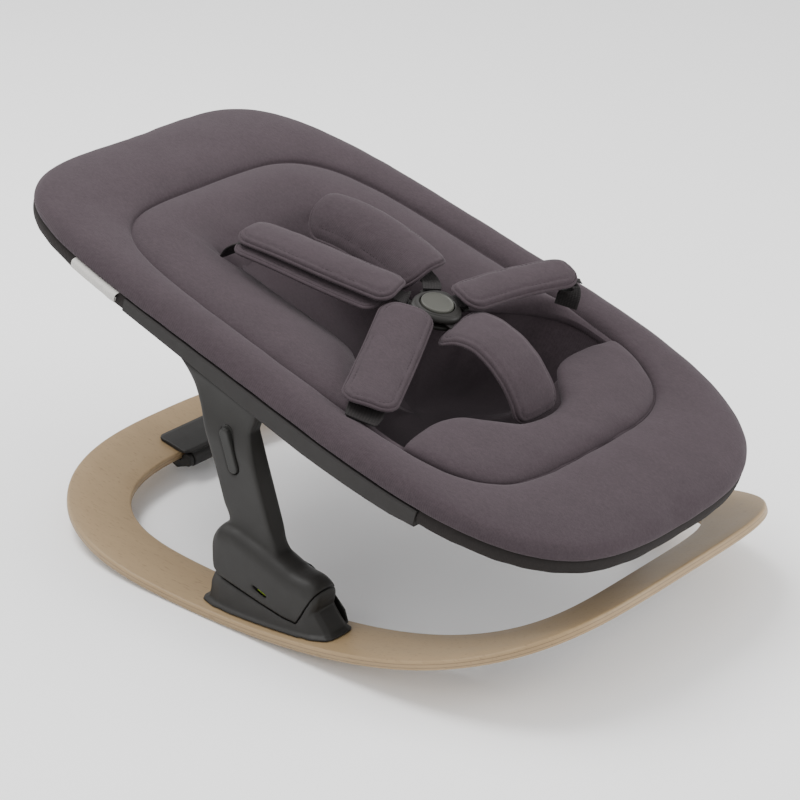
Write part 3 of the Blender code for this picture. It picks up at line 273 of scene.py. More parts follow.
MATERIALS = {
    "fabric": fabric("fabric", FABRIC_LIGHT, FABRIC_DARK),
    # The liner is the same cloth with painted shade: its deep colour darkens the lower part of the well.
    "liner_painted_shade": fabric("liner_painted_shade", FABRIC_LIGHT, FABRIC_DARK, deep=(0.02, 0.0155, 0.0178)),
    "dark_fabric": fabric("dark_fabric", (0.026, 0.0225, 0.0215), (0.012, 0.0104, 0.01), 0.03),
    "webbing": webbing("webbing", (0.03, 0.025, 0.025), (0.009, 0.008, 0.008)),
    "thread": plastic("thread", (0.02, 0.015, 0.017), (0.012, 0.009, 0.01), (0.7, 0.8), 900.0),
    "plywood": plywood("plywood"),
    "plastic": plastic("plastic", (0.0166, 0.0153, 0.0138), (0.0116, 0.0107, 0.0096)),
    "plastic_inner": plastic("plastic_inner", (0.02, 0.0195, 0.0178), (0.014, 0.0138, 0.0126)),
    "rail_plastic": plastic("rail_plastic", (0.0195, 0.0172, 0.0164), (0.0145, 0.0128, 0.0122), (0.6, 0.72)),
    "steel": metal("steel", (0.62, 0.62, 0.63), 0.35),
    "tube": metal("tube", (0.55, 0.55, 0.57), 0.4),
    "green": plastic("green", (0.15, 0.21, 0.01), (0.11, 0.16, 0.008), (0.35, 0.5), 900.0, 0.1),
    "button": plastic("button", (0.066, 0.066, 0.056), (0.05, 0.05, 0.043), (0.38, 0.5), 2200.0, 0.2),
    "label": fabric("label", (0.62, 0.6, 0.57), (0.42, 0.41, 0.39), 0.05, 420.0),
}


# -------- shapes of the object
def superellipse(angle, half_x, half_y, power):
    c, s = math.cos(angle), math.sin(angle)
    r = (abs(c) ** power + abs(s) ** power) ** (-1.0 / power)
    return half_x * c * r, half_y * s * r


def spread(curve, first, last, count):
    """Angles that spread points along a curve, closer together where it bends."""
    fine = 900
    bend = 0.05
    angles = np.linspace(first, last, fine + 1)
    points = np.array([curve(a) for a in angles])
    steps = np.diff(points, axis=0)
    lengths = np.linalg.norm(steps, axis=1)
    heading = np.unwrap(np.arctan2(steps[:, 1], steps[:, 0]))
    turns = np.abs(np.diff(heading, prepend=heading[0]))
    walked = np.concatenate(([0.0], np.cumsum(lengths + bend * turns)))
    return np.interp(np.linspace(0.0, walked[-1], count + 1), walked, angles)


def spline(points, steps, closed=False):
    """Catmull-Rom curve through points of any dimension, as an array."""
    points = np.asarray(points, dtype=float)
    count = len(points)
    out = []
    order = np.arange(-1, count + 2)
    order = order % count if closed else np.clip(order, 0, count - 1)
    for i in range(count if closed else count - 1):
        a, b, c, d = points[order[i:i + 4]]
        for j in range(steps):
            t = j / steps
            out.append(0.5 * (2 * b + (c - a) * t + (2 * a - 5 * b + 4 * c - d) * t * t
                              + (3 * b - a - 3 * c + d) * t ** 3))
    if not closed:
        out.append(points[-1])
    return np.array(out)


def polar(centre, r, angle):
    return centre[0] + r * math.cos(angle), centre[1] + r * math.sin(angle)


def ray_radius(outline, centre, angle):
    """Distance from a centre to a closed outline along a polar angle."""
    start = np.asarray(outline) - centre
    edge = np.roll(start, -1, axis=0) - start
    du, dv = math.cos(angle), math.sin(angle)
    cross = du * edge[:, 1] - dv * edge[:, 0]
    cross[np.abs(cross) < 1e-12] = 1e-12
    r = (start[:, 0] * edge[:, 1] - start[:, 1] * edge[:, 0]) / cross
    t = (start[:, 0] * dv - start[:, 1] * du) / cross
    return r[(r > 0) & (t >= -1e-9) & (t <= 1 + 1e-9)].max()


def seat(u, v, n):
    """Seat axes (across, to the head, up) to the shared frame."""
    c, s = math.cos(SEAT_TILT), math.sin(SEAT_TILT)
    n = n - SEAT_BOW * v * v
    return Vector((u, SEAT_ORIGIN.y + c * v - s * n, SEAT_ORIGIN.z + s * v + c * n))


SEAT_N = Vector((0.0, -math.sin(SEAT_TILT), math.cos(SEAT_TILT)))
UP = Vector((0.0, 0.0, 1.0))


def outline_at(angle, inset=0.0, width=SEAT_WIDTH, length=SEAT_LENGTH, power=SEAT_POWER):
    p = power[0] if math.sin(angle) > 0 else power[1]
    u, v = superellipse(angle, width / 2 - inset, length / 2 - inset, p)
    return u * (1 + SEAT_TAPER * v), v


def mirrored(points):
    """Closes a right-half outline (from the head to the foot) with its mirror image."""
    return list(points) + [(-u, v) for u, v in reversed(points[1:-1])]


# Right half of the cushion's lip, then the well's and the cushion's own ways round the leg rest
LIP = [(0.0, 0.158), (0.04, 0.156), (0.06, 0.142), (0.06, 0.1), (0.06, 0.045), (0.068, -0.005),
       (0.098, -0.048), (0.136, -0.082), (0.155, -0.112), (0.158, -0.14)]
WELL_FOOT = [(0.152, -0.163), (0.12, -0.16), (0.082, -0.163), (0.056, -0.186), (0.03, -0.206),
             (0.0, -0.208)]
HOLE_FOOT = [(0.155, -0.18), (0.146, -0.214), (0.123, -0.24), (0.08, -0.254), (0.0, -0.259)]
WELL_OUTLINE = spline(mirrored(LIP + WELL_FOOT), 8, closed=True)
HOLE_OUTLINE = spline(mirrored(LIP + HOLE_FOOT), 8, closed=True)


def rocker(y):
    d = y - ROCKER_LOW_Y
    return sum(c * d ** (i + 2) for i, c in enumerate(ROCKER_CURVE))


def on_rocker(x, y, height):
    """A point at a height above the sheet's underside, square to the sheet."""
    d = y - ROCKER_LOW_Y
    slope = sum(c * (i + 2) * d ** (i + 1) for i, c in enumerate(ROCKER_CURVE))
    return Vector((x, y, rocker(y))) + Vector((0.0, -slope, 1.0)).normalized() * height


# -------- mesh helpers
def link(name, data):
    made = bpy.data.objects.new(name, data)
    bpy.context.scene.collection.objects.link(made)
    return made


def build(name, points, faces, slot, body, replaced=(), smooth=40.0, slot_name=None, outward=False):
    """One finished object from points and faces, with its material, body and the nodes it stands for."""
    mesh = bpy.data.meshes.new(name)
    mesh.from_pydata([tuple(p) for p in points], [], [tuple(int(i) for i in f) for f in faces])
    mesh.validate()
    piece = dress(link(name, mesh), slot, body, replaced, smooth, slot_name)
    if outward:
        work = bmesh.new()
        work.from_mesh(mesh)
        bmesh.ops.recalc_face_normals(work, faces=work.faces)
        work.to_mesh(mesh)
        work.free()
    return piece


def dress(piece, slot, body, replaced, smooth, slot_name=None):
    """Material, shading, body and replaced nodes of a finished piece; slot_name is not used."""
    mesh = piece.data
    mesh.materials.clear()
    mesh.materials.append(MATERIALS[slot])
    mesh.shade_smooth()
    if smooth:
        mesh.set_sharp_from_angle(angle=math.radians(smooth))
    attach(piece, body)
    slot_name or slot
    if replaced:
        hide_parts(*replaced)
    return piece


def grid_faces(rows, columns, close_rows=False, close_columns=False, caps=False):
    """Quads of a rows by columns grid whose points are stored row by row; caps close both ends."""
    faces = []
    for i in range(rows if close_rows else rows - 1):
        j = (i + 1) % rows
        for k in range(columns if close_columns else columns - 1):
            m = (k + 1) % columns
            faces.append((i * columns + k, i * columns + m, j * columns + m, j * columns + k))
    if caps:
        faces += [tuple(range(columns)), tuple(range((rows - 1) * columns, rows * columns))]
    return faces


def coordinates(mesh):
    flat = np.empty(len(mesh.vertices) * 3)
    mesh.vertices.foreach_get("co", flat)
    return flat.reshape(-1, 3)


def set_coordinates(mesh, points):
    mesh.vertices.foreach_set("co", np.asarray(points, dtype=np.float32).ravel())
    mesh.update()


def float_attribute(mesh, name, values):
    made = mesh.attributes.new(name, "FLOAT", "POINT")
    made.data.foreach_set("value", np.asarray(values, dtype=np.float32))


def relax(mesh, weights, rounds):
    """Moves points towards the mean of their neighbours, each by half its weight."""
    points = coordinates(mesh)
    edges = np.empty(len(mesh.edges) * 2, dtype=np.int64)
    mesh.edges.foreach_get("vertices", edges)
    a, b = edges[0::2], edges[1::2]
    count = len(points)
    degree = np.bincount(a, minlength=count) + np.bincount(b, minlength=count)
    weights = (np.ones(count) if weights is None else weights) * 0.5
    for _ in range(rounds):
        total = np.empty_like(points)
        for k in range(3):
            total[:, k] = (np.bincount(a, points[b, k], count) + np.bincount(b, points[a, k], count))
        mean = total / np.maximum(degree, 1)[:, None]
        points += weights[:, None] * (mean - points)
    set_coordinates(mesh, points)


def settle(piece, pinned, pressure, cap, frames=16):
    """Runs Blender's cloth on a padded piece with its seams pinned, and keeps the result, capped."""
    stiffness = 8.0
    start = coordinates(piece.data)
    group = piece.vertex_groups.new(name="seams")
    group.add([int(i) for i in pinned], 1.0, "REPLACE")
    cloth = piece.modifiers.new("cloth", "CLOTH")
    assign(cloth.settings, quality=5, mass=0.25, tension_stiffness=stiffness,
           compression_stiffness=stiffness, shear_stiffness=stiffness * 0.6, bending_stiffness=0.4,
           air_damping=4.0, vertex_group_mass="seams", use_pressure=True,
           uniform_pressure_force=pressure)
    cloth.settings.effector_weights.gravity = 0.0
    cloth.collision_settings.use_collision = False
    scene = bpy.context.scene
    for step in range(1, frames + 1):
        scene.frame_set(step)
    done = piece.evaluated_get(bpy.context.evaluated_depsgraph_get())
    after = coordinates(done.to_mesh())
    done.to_mesh_clear()
    piece.modifiers.remove(cloth)
    piece.vertex_groups.remove(group)
    scene.frame_set(1)
    move = after - start
    length = np.linalg.norm(move, axis=1, keepdims=True)
    move *= np.minimum(1.0, cap / np.maximum(length, 1e-9))
    set_coordinates(piece.data, start + move)


def bake(piece, kind, **settings):
    """Runs one modifier and keeps its result as the piece's mesh."""
    step = assign(piece.modifiers.new("step", kind), **settings)
    done = piece.evaluated_get(bpy.context.evaluated_depsgraph_get())
    mesh = bpy.data.meshes.new_from_object(done)
    piece.modifiers.remove(step)
    piece.data = mesh
    return mesh


def finish_soft(piece, height, frequency):
    """Faint unevenness of cloth over wadding, on a finer mesh."""
    points = coordinates(piece.data)
    normals = np.empty(len(points) * 3)
    piece.data.vertices.foreach_get("normal", normals)
    lift = np.array([noise.noise(Vector(p) * frequency) for p in points]) * height
    set_coordinates(piece.data, points + normals.reshape(-1, 3) * lift[:, None])
    bake(piece, "SUBSURF", levels=1, render_levels=1).shade_smooth()


def piping(name, path, radius, sides):
    """Round cord along a closed path."""
    points = []
    for i, here in enumerate(path):
        along = (path[(i + 1) % len(path)] - path[i - 1]).normalized()
        side = along.cross(UP).normalized()
        over = side.cross(along)
        for k in range(sides):
            angle = math.tau * k / sides
            points.append(here + side * (radius * math.cos(angle)) + over * (radius * math.sin(angle)))
    build(name, points, grid_faces(len(path), sides, True, True), "fabric", "seat", outward=True)


def soften(name, nodes, body, voxel, rounds, fillet=None, shape=None, added=None, crisp=None):
    """Joins CAD nodes into one body with rounded edges, less where crisp(points) is low;
    fillet(points) weighs the wide inner curves."""
    work = bmesh.new()
    for node in nodes:
        work.from_mesh(frame["nodes"][node].data)
    if added:
        work.from_mesh(added)
    mesh = bpy.data.meshes.new(name)
    work.to_mesh(mesh)
    work.free()
    piece = link(name, mesh)
    fine = bake(piece, "REMESH", mode="VOXEL", voxel_size=voxel)
    relax(fine, crisp(coordinates(fine)) if crisp else None, rounds)
    if fillet:
        relax(fine, fillet(coordinates(fine)), 90)
        relax(fine, None, 2)
    if shape:
        set_coordinates(fine, shape(coordinates(fine)))
    return dress(piece, "plastic", body, nodes, smooth=None)


def cut_off(piece, place, normal, gap):
    """Cuts a piece at a plane; returns the mesh on the normal's far side, parted from it by a gap."""
    parts = []
    for sign in (1, -1):
        work = bmesh.new()
        work.from_mesh(piece.data)
        cut = bmesh.ops.bisect_plane(work, geom=work.verts[:] + work.edges[:] + work.faces[:],
                                     plane_co=place + normal * (sign * gap / 2), plane_no=normal,
                                     clear_outer=sign < 0, clear_inner=sign > 0)
        rim = [e for e in cut["geom_cut"] if isinstance(e, bmesh.types.BMEdge)]
        bmesh.ops.holes_fill(work, edges=rim, sides=0)
        mesh = piece.data if sign < 0 else bpy.data.meshes.new(piece.name + "_end")
        work.to_mesh(mesh)
        work.free()
        parts.append(mesh)
    return parts[0]


# -------- base
def ring_point(angle, at_head, inner):
    (start, end), band, power = RING_HEAD if at_head else RING_FOOT
    half = RING_HALF_WIDTH - RING_ARM * inner
    x, y = superellipse(angle, half, abs(end - start) - band * inner, power[inner])
    return x, start + y


def plywood_ring():
    inner_x = RING_HALF_WIDTH - RING_ARM
    stations = []
    for at_head, first in ((True, 0.0), (False, math.pi)):
        for a in spread(lambda a: ring_point(a, at_head, False), first, first + math.pi, 110):
            stations.append((ring_point(a, at_head, False), ring_point(a, at_head, True)))
        sign = -1 if at_head else 1
        ends = sorted((RING_HEAD[0][0], RING_FOOT[0][0]), reverse=at_head)
        for share in np.linspace(0.0, 1.0, 16)[1:-1]:
            y = ends[0] + (ends[1] - ends[0]) * share
            stations.append(((sign * RING_HALF_WIDTH, y), (sign * inner_x, y)))
    corner = [(RING_EDGE * (1 - math.cos(a)), RING_EDGE * (1 - math.sin(a)))
              for a in np.linspace(0.0, math.pi / 2, 5)]
    points = []
    for outer, inner in stations:
        outer, inner = Vector(outer), Vector(inner)
        width = (inner - outer).length
        across = (inner - outer) / width
        under = corner + [(width * f, 0.0) for f in (0.3, 0.5, 0.7)]
        under += [(width - w, h) for w, h in reversed(corner)]
        section = under + [(w, PLY - h) for w, h in reversed(under)]
        points += [on_rocker(*(outer + across * w), h) for w, h in section]
    build("plywood_ring", points, grid_faces(len(stations), len(section), True, True), "plywood", "base",
          ["rocker_ring"], outward=True)


def ramp(values, low, high):
    share = np.clip((values - low) / (high - low), 0.0, 1.0)
    return share * share * (3 - 2 * share)


LEG_TUCK, LEG_LIFT, LEG_REACH = 0.0068, 0.0042, 0.012
TOE_SWELL = (0.006, 0.005)


def leg_shape(points):
    """Draws the leg's top in under the rail's outer face, and swells the shoe's toe."""
    x, y, z = points.T.copy()
    side = np.sign(x)
    c, s = math.cos(SEAT_TILT), math.sin(SEAT_TILT)
    v = (y - SEAT_ORIGIN.y) * c + (z - SEAT_ORIGIN.z) * s
    n = (z - SEAT_ORIGIN.z) * c - (y - SEAT_ORIGIN.y) * s
    outer = ramp(np.abs(x), 0.205, 0.215)
    top = ramp(n, -0.075, -0.03)
    x -= side * LEG_TUCK * top * outer
    lift = LEG_LIFT * ramp(n, -0.05, -0.027) * outer
    reach = LEG_REACH * ramp(n, -0.062, -0.026) ** 1.5 * ramp(v, 0.03, 0.062)
    y += reach * c - lift * s
    z += reach * s + lift * c
    toe = ramp(-(y - SHIFT_Y), 0.078, 0.104) * (z < 0.12)
    z += TOE_SWELL[1] * toe * ramp(z, 0.035, 0.058)
    y -= TOE_SWELL[0] * toe * ramp(z, 0.03, 0.06)
    return np.stack([x, y, z], axis=1)


def foot_shape(points):
    """Carries the foot's flange a little further to the head end."""
    x, y, z = points.T.copy()
    y += 0.0075 * ramp(y, -0.045, 0.035) * ramp(-z, -0.06, -0.03)
    return np.stack([x, y, z], axis=1)


def make_hard_pieces():
    plywood_ring()
    shoe_top = ((-0.086, 0.076), (-0.031, 0.094), (-0.001, 0.101), (0.03, 0.104))

    def fillet(points):
        line = np.interp(points[:, 1], [y for y, z in shoe_top], [z for y, z in shoe_top])
        away = points[:, 2] - line - 0.004
        return np.exp(-(away / 0.008) ** 2) * 0.8

    def crisp(points):
        """Zero in the latch rod's slot inside the shoe, so that the rod runs free."""
        x, y, z = np.abs(points[:, 0]), points[:, 1], points[:, 2]
        slot = (x > 0.21) & (x < 0.2268) & (y > -0.046) & (y < -0.012) & (z > 0.045) & (z < 0.1)
        return np.where(slot, 0.0, 1.0)

    soften("stopper_plate", ["stopper_flap"], "stopper", 0.0007, 4)
    soften("stopper_block", ["stopper_base"], "base", 0.0007, 4)
    toe_plane = Vector((0.0, -0.099 + SHIFT_Y, 0.042))
    toe_normal = Vector((0.0, -0.86, -0.5)).normalized()
    for side in ("left", "right"):
        leg = soften("leg_body_" + side, ["leg_outer_shell_" + side, "leg_inner_shell_" + side],
                     "leg_unit", 0.0012, 7, fillet=fillet, shape=leg_shape, crisp=crisp)
        toe = cut_off(leg, toe_plane, toe_normal, 0.0012)
        soften("foot_body_" + side, ["foot_" + side], "base", 0.001, 3, shape=foot_shape, added=toe)
        bpy.data.meshes.remove(toe)


def keep_cad_nodes():
    """Finishes the CAD nodes that stay: materials, and rounded edges on the larger mouldings."""
    rounded = {"side_rail": 0.0016, "release_button": 0.0008, "lock_indicator": 0.0003}
    for item in frame["record"]["subparts"]:
        node = frame["nodes"][item["node"]]
        if node.hide_render:
            continue
        if not node.material_slots:
            node.data.materials.append(None)
        for place in node.material_slots:
            place.material = MATERIALS[item["material_slot"]]
        for name, width in rounded.items():
            if item["node"].startswith(name):
                assign(node.modifiers.new("edges", "BEVEL"), width=width, segments=3,
                       limit_method="ANGLE", angle_limit=math.radians(35))


# -------- seat cushion
def lip_height(v):
    """Height of the well's lip: lowest beside the sitter's back."""
    return -0.0008 - 0.0122 * ramp(v, -0.07, 0.03)


def cover_section(hole, seam, outer, lip):
    """Radius and height round the ring cushion's section, and which points are sewn down."""
    gap = seam - hole
    full = min(max((gap - 0.008) / 0.03, 0.0), 1.0)
    wide = outer - seam
    fall = lip + 0.0008

    def collar(n, share):
        return 0.005 + (n - 0.005) * full + fall * max(1 - share / 0.75, 0.0) ** 1.3

    section = [(hole + 0.004, CLOTH_UNDER + fall, True), (hole - 0.0005, lip, True)]
    section += [(hole + f * gap, collar(n, f), False) for f, n in (
        (0.06, 0.0035), (0.2, 0.0085), (0.42, 0.0132), (0.66, 0.0152), (0.86, 0.0122))]
    section += [(seam - 0.035 * gap, collar(0.008, 1.0), False), (seam, 0.0046, True),
                (seam + 0.0018, 0.0088, False)]
    section += [(seam + f * wide, n, False) for f, n in ((0.12, 0.0132), (0.32, 0.015), (0.58, 0.015))]
    section += [(outer - d, n, False) for d, n in (
        (0.0135, 0.0128), (0.006, 0.009), (0.0016, 0.0042), (0.0004, 0.0))]
    return section + [(outer - 0.003, CLOTH_UNDER, True), (outer - 0.02, PAD_UNDER + 0.0003, True),
                      (seam - 0.05 * gap, CLOTH_UNDER, True)]


def seat_cushion():
    around = 300
    outer_line, seam_line = ([outline_at(math.tau * i / 400, 0.0, *shape) for i in range(400)]
                             for shape in ((), SEAM))

    def rim(angle):
        return polar(COVER_CENTRE, ray_radius(outer_line, COVER_CENTRE, angle), angle)

    points, sewn = [], []
    for angle in spread(rim, -math.pi / 2, 1.5 * math.pi, around)[:-1]:
        outer = ray_radius(outer_line, COVER_CENTRE, angle)
        hole = ray_radius(HOLE_OUTLINE, COVER_CENTRE, angle)
        seam = max(ray_radius(seam_line, COVER_CENTRE, angle), hole + 0.006)
        section = cover_section(hole, seam, outer, lip_height(polar(COVER_CENTRE, hole, angle)[1]))
        fine = spline([point[:2] for point in section], 2, closed=True)
        columns = len(fine)
        for k, (r, n) in enumerate(fine):
            if k % 2 == 0 and section[k // 2][2] or k >= 2 * len(section) - 3:
                sewn.append(len(points))
            points.append(seat(*polar(COVER_CENTRE, r, angle), n))
    piece = build("seat_cushion", points, grid_faces(around, columns, True, True), "fabric", "seat",
                  ["seat_pad"], smooth=None, outward=True)
    settle(piece, sewn, 1.6, 0.0035, frames=14)
    strap_slots(piece)
    finish_soft(piece, 0.0006, 42.0)


def strap_slots(piece):
    """Two dents in the collar where the shoulder straps come through."""
    points = coordinates(piece.data)
    slope = np.array((0.0, math.cos(SEAT_TILT), math.sin(SEAT_TILT)))
    v = (points - np.array(SEAT_ORIGIN)) @ slope
    across = (np.abs(points[:, 0]) - SLOT[0]) / 0.011
    along = (v - SLOT[1]) / 0.008
    depth = 0.011 * np.exp(-(across ** 2 + along ** 2))
    set_coordinates(piece.data, points - depth[:, None] * np.array(SEAT_N))


def well_liner():
    """Cloth bag inside the cushion's hole; shallow towards the head, steep elsewhere; its depth attribute
    paints shade, darker further down.
    """
    around = 200
    shares = np.concatenate((np.linspace(0.0, 0.8, 15)[1:], np.linspace(0.8, 1.0, 15)[1:]))
    points = [seat(*WELL_CENTRE, PAD_UNDER - WELL_DEPTH)]
    depth = [1.0]
    for share in shares:
        for k in range(around):
            angle = math.tau * k / around
            head = ramp(math.sin(angle), -0.15, 0.7)
            power = 1.7 * head + 4.0 * (1 - head)
            rim = ray_radius(WELL_OUTLINE, WELL_CENTRE, angle) + 0.0015
            top = lip_height(polar(WELL_CENTRE, rim, angle)[1]) + 0.001
            drop = top - PAD_UNDER + WELL_DEPTH
            deep = 1 - share ** power
            fold = math.sin(angle * 19 + 2 * math.sin(angle * 5)) * (1 - head)
            fold *= 0.0022 * math.sin(math.pi * share ** 3)
            r = rim * share + fold
            n = top - drop * deep
            points.append(seat(*polar(WELL_CENTRE, r, angle), n))
            # Painted shade: the depth attribute darkens the cloth further down the well.
            depth.append(0.8 * ramp(deep, 0.25, 1.0))
    faces = [(0, 1 + k, 1 + (k + 1) % around) for k in range(around)]
    faces += [tuple(i + 1 for i in reversed(face))
              for face in grid_faces(len(shares), around, False, True)]
    piece = build("well_liner", points, faces, "liner_painted_shade", "seat", ["hammock"], None, "dark_fabric")
    float_attribute(piece.data, "depth", depth)


def legrest_cushion():
    """Crescent cushion at the foot end, with a notch for the crotch strap."""
    upper = [(0.156, -0.16), (0.135, -0.1545), (0.105, -0.152), (0.078, -0.157),
             (0.056, -0.176), (0.033, -0.198), (0.0, -0.205)]
    angles = spread(lambda a: outline_at(a, 0.0, *SEAM), math.radians(-32.5), math.radians(-90), 8)
    seam = [outline_at(a, 0.001, *SEAM) for a in angles]
    rows = 97
    places = np.linspace(0.0, 1.0, rows)
    edges = []
    for line in (upper, seam[:-1] + [(0.0, seam[-1][1])]):
        line = spline(line + [(-u, v) for u, v in reversed(line[:-1])], 12)
        own = np.linspace(0.0, 1.0, len(line))
        edges.append(np.stack([np.interp(places, own, line[:, k]) for k in (0, 1)], axis=1))
    shares = [0.0, 0.02, 0.06, 0.12, 0.2, 0.3, 0.42, 0.55, 0.68, 0.79, 0.88, 0.94, 0.98, 1.0]
    columns = len(shares) + 4
    points, sewn = [], []
    for i, (a, b) in enumerate(zip(*edges)):
        end = min(i, rows - 1 - i) / (rows - 1)
        puff = min(1.0, (end / 0.1) ** 0.5) if end > 0 else 0.0
        for f in shares:
            crown = (1 - abs(2 * f - 1) ** 2.6) ** 0.55
            n = 0.0045 + 0.0115 * crown * (0.25 + 0.75 * puff)
            if f in (0.0, 1.0):
                n = 0.004
                sewn.append(len(points))
            points.append(seat(*(a + (b - a) * f), n))
        for f in (0.98, 0.7, 0.3, 0.02):
            sewn.append(len(points))
            points.append(seat(*(a + (b - a) * f), PAD_UNDER + 0.0005))
    piece = build("legrest_cushion", points, grid_faces(rows, columns, False, True, True), "fabric",
                  "seat", ["legrest_pad"], smooth=None, outward=True)
    settle(piece, sewn, 2.2, 0.0045)
    finish_soft(piece, 0.0008, 45.0)


def rim_start(end_v, inset):
    """Angle at which the inset outline reaches end_v."""
    low, high = 0.0, math.pi / 2
    sign = math.copysign(1.0, end_v)
    while high - low > 1e-7:
        angle = (low + high) / 2
        if abs(outline_at(sign * angle, inset)[1]) < abs(end_v):
            low = angle
        else:
            high = angle
    return low


def edge_sleeve(name, end_v):
    """Cloth edge that wraps the frame tube below the cushion's seam."""
    section = spline([(0.005, PAD_UNDER + 0.0025), (0.0014, -0.0068), (0.0014, -0.014),
                      (0.0034, -0.0185), (0.008, -0.0202), (0.014, -0.02), (0.02, -0.0192)], 3)
    sign = math.copysign(1.0, end_v)
    first = rim_start(end_v, 0.0)
    angles = spread(outline_at, sign * first, sign * (math.pi - first), 150)
    points = []
    for inset, n in section:
        start = rim_start(end_v, inset)
        stretch = (math.pi - 2 * start) / (math.pi - 2 * first)
        for a in angles:
            u, v = outline_at(sign * (start + (abs(a) - first) * stretch), inset)
            sag = 0.0009 * noise.noise(Vector((u, v, n)) * 55.0)
            points.append(seat(u, v, n + sag * (1 if n < -0.006 else 0)))
    piece = build(name + "_edge", points, grid_faces(len(section), len(angles)), "dark_fabric", "seat",
                  [name + "_sleeve"], None)


def side_tag():
    """Blank woven loop folded under the cushion's seam."""
    points = []
    section = [(-0.0034, -0.0034), (0.0022, -0.0046), (0.0034, -0.008), (0.003, -0.0115),
               (0.0022, -0.0135), (0.0012, -0.012), (0.0008, -0.008)]
    rows = 22
    start, length = 0.1745, 0.069
    for i in range(rows):
        share = i / (rows - 1)
        v = start + length * share
        ratio = abs(v) / (SEAT_LENGTH / 2)
        half = SEAT_WIDTH / 2 * (1 - ratio ** SEAT_POWER[0]) ** (1 / SEAT_POWER[0])
        half *= 1 + SEAT_TAPER * v
        lift = 0.0008 * math.exp(-((share - 0.12) / 0.08) ** 2)
        points += [seat(-(half + a + lift), v, n) for a, n in spline(section, 3)]
    columns = len(points) // rows
    piece = build("side_tag", points, grid_faces(rows, columns), "label", "seat", ["side_label"], None)


# -------- harness
def path_frames(path, level):
    """Points along a seat-axes path, with the across and up directions at each; a level path keeps
    its across direction along X."""
    points = [seat(*p) for p in spline(path, 10)]
    frames = []
    for i, point in enumerate(points):
        along = (points[min(i + 1, len(points) - 1)] - points[max(i - 1, 0)]).normalized()
        across = Vector((1.0, 0.0, 0.0)) if level else along.cross(SEAT_N)
        across = (across - along * across.dot(along)).normalized()
        up = across.cross(along).normalized()
        if up.dot(SEAT_N) < -1e-6:
            up = -up
        frames.append((point, across, up))
    return frames


def pick(frames, walked, distance):
    """Frame at a distance along the path."""
    distance = min(max(distance, 0.0), walked[-1])
    i = min(int(np.searchsorted(walked, distance, side="right")) - 1, len(frames) - 2)
    share = (distance - walked[i]) / (walked[i + 1] - walked[i])
    (p0, a0, u0), (p1, a1, u1) = frames[i], frames[i + 1]
    across = a0.lerp(a1, share).normalized()
    return p0.lerp(p1, share), across, u0.lerp(u1, share).normalized()


def harness_pad(name, node, path, level, width, thick, corner, curl, lean, twist=0.0):
    """Padded strap cover: rounded outline, piped edge, a line of stitching, a curl and a twist."""
    frames = path_frames(path, level)
    walked = [0.0]
    for (p, _, _), (q, _, _) in zip(frames, frames[1:]):
        walked.append(walked[-1] + (q - p).length)
    length = walked[-1]

    def half(a):
        short = corner - min(a, length - a, corner)
        return width / 2 - corner + math.sqrt(corner ** 2 - short ** 2)

    def inside(a, x):
        """Distance in from the rounded outline."""
        dx = width / 2 - abs(x)
        da = min(a, length - a)
        if dx < corner and da < corner:
            return corner - math.hypot(corner - dx, corner - da)
        return min(dx, da)

    def place(a, x, h):
        point, across, up = pick(frames, walked, a)
        turned = twist * (x - width / 2) * max(1 - a / 0.055, 0.0) ** 1.5
        return point + across * x + up * (h + turned - curl * ((x - lean) ** 2 - lean ** 2))

    def face_height(d):
        rise = min(max(d, 0.0) / 0.011, 1.0)
        crown = (1 - (1 - rise) ** 2.4) ** 0.5
        dent = math.exp(-((d - STITCH_INSET) / 0.0013) ** 2)
        return thick / 2 * (0.35 + 0.65 * crown) * min(1.0, max(d, 0.0) / 0.0008) - 0.0011 * dent

    ends = (1 - np.cos(np.linspace(0.0, math.pi, 15))) / 2 * 0.1
    stations = np.concatenate((ends[:8] * 2, np.linspace(0.1, 0.9, 64), 1 - ends[:8][::-1] * 2))
    stations = np.unique(np.clip(np.round(stations, 5), 0.0, 1.0)) * length
    columns = np.sin(np.linspace(-math.pi / 2, math.pi / 2, 31))
    top, bottom = [], []
    for a in stations:
        h = half(a)
        for f in columns:
            rise = face_height(inside(a, f * h))
            top.append(place(a, f * h, rise))
            bottom.append(place(a, f * h, -0.7 * rise))
    many = len(columns)
    grid = grid_faces(len(stations), many)
    border = {i * many + k for i in range(len(stations)) for k in range(many)
              if i in (0, len(stations) - 1) or k in (0, many - 1)}
    lower = {i: i for i in border}
    points = list(top)
    for i, point in enumerate(bottom):
        if i not in border:
            lower[i] = len(points)
            points.append(point)
    faces = grid + [tuple(lower[i] for i in reversed(f)) for f in grid]
    piece = build(name, points, faces, "fabric", "seat", [node], smooth=None, outward=True)
    stitched = [i * many + k for i, a in enumerate(stations) for k, f in enumerate(columns)
                if abs(inside(a, f * half(a)) - STITCH_INSET) < 0.0011]
    settle(piece, list(border) + stitched, 2.0, 0.0022, frames=12)
    finish_soft(piece, 0.0005, 70.0)
    edge = rounded_route(length, width, corner)
    piping(name + "_piping", [place(a, x, 0.0) for a, x in edge], PIPING_RADIUS, 10)
    inner = rounded_route(length, width, corner, STITCH_INSET)
    stitches(name + "_stitching", [place(a, x, face_height(STITCH_INSET) + 0.0002) for a, x in inner])


def rounded_route(length, width, corner, inset=0.0):
    """Closed route (along, across) round a rounded rectangle, inset by a distance."""
    r = corner - inset
    route = []
    corners = ((length - corner, width / 2 - corner, 0), (corner, width / 2 - corner, 1),
               (corner, corner - width / 2, 2), (length - corner, corner - width / 2, 3))
    for a, x, turn in corners:
        for k in range(9):
            route.append(polar((a, x), r, (turn + k / 8) * math.pi / 2))
    out = []
    for (a0, x0), (a1, x1) in zip(route, route[1:] + route[:1]):
        parts = max(1, int(math.hypot(a1 - a0, x1 - x0) / ROUTE_STEP))
        out += [(a0 + (a1 - a0) * i / parts, x0 + (x1 - x0) * i / parts) for i in range(parts)]
    return out


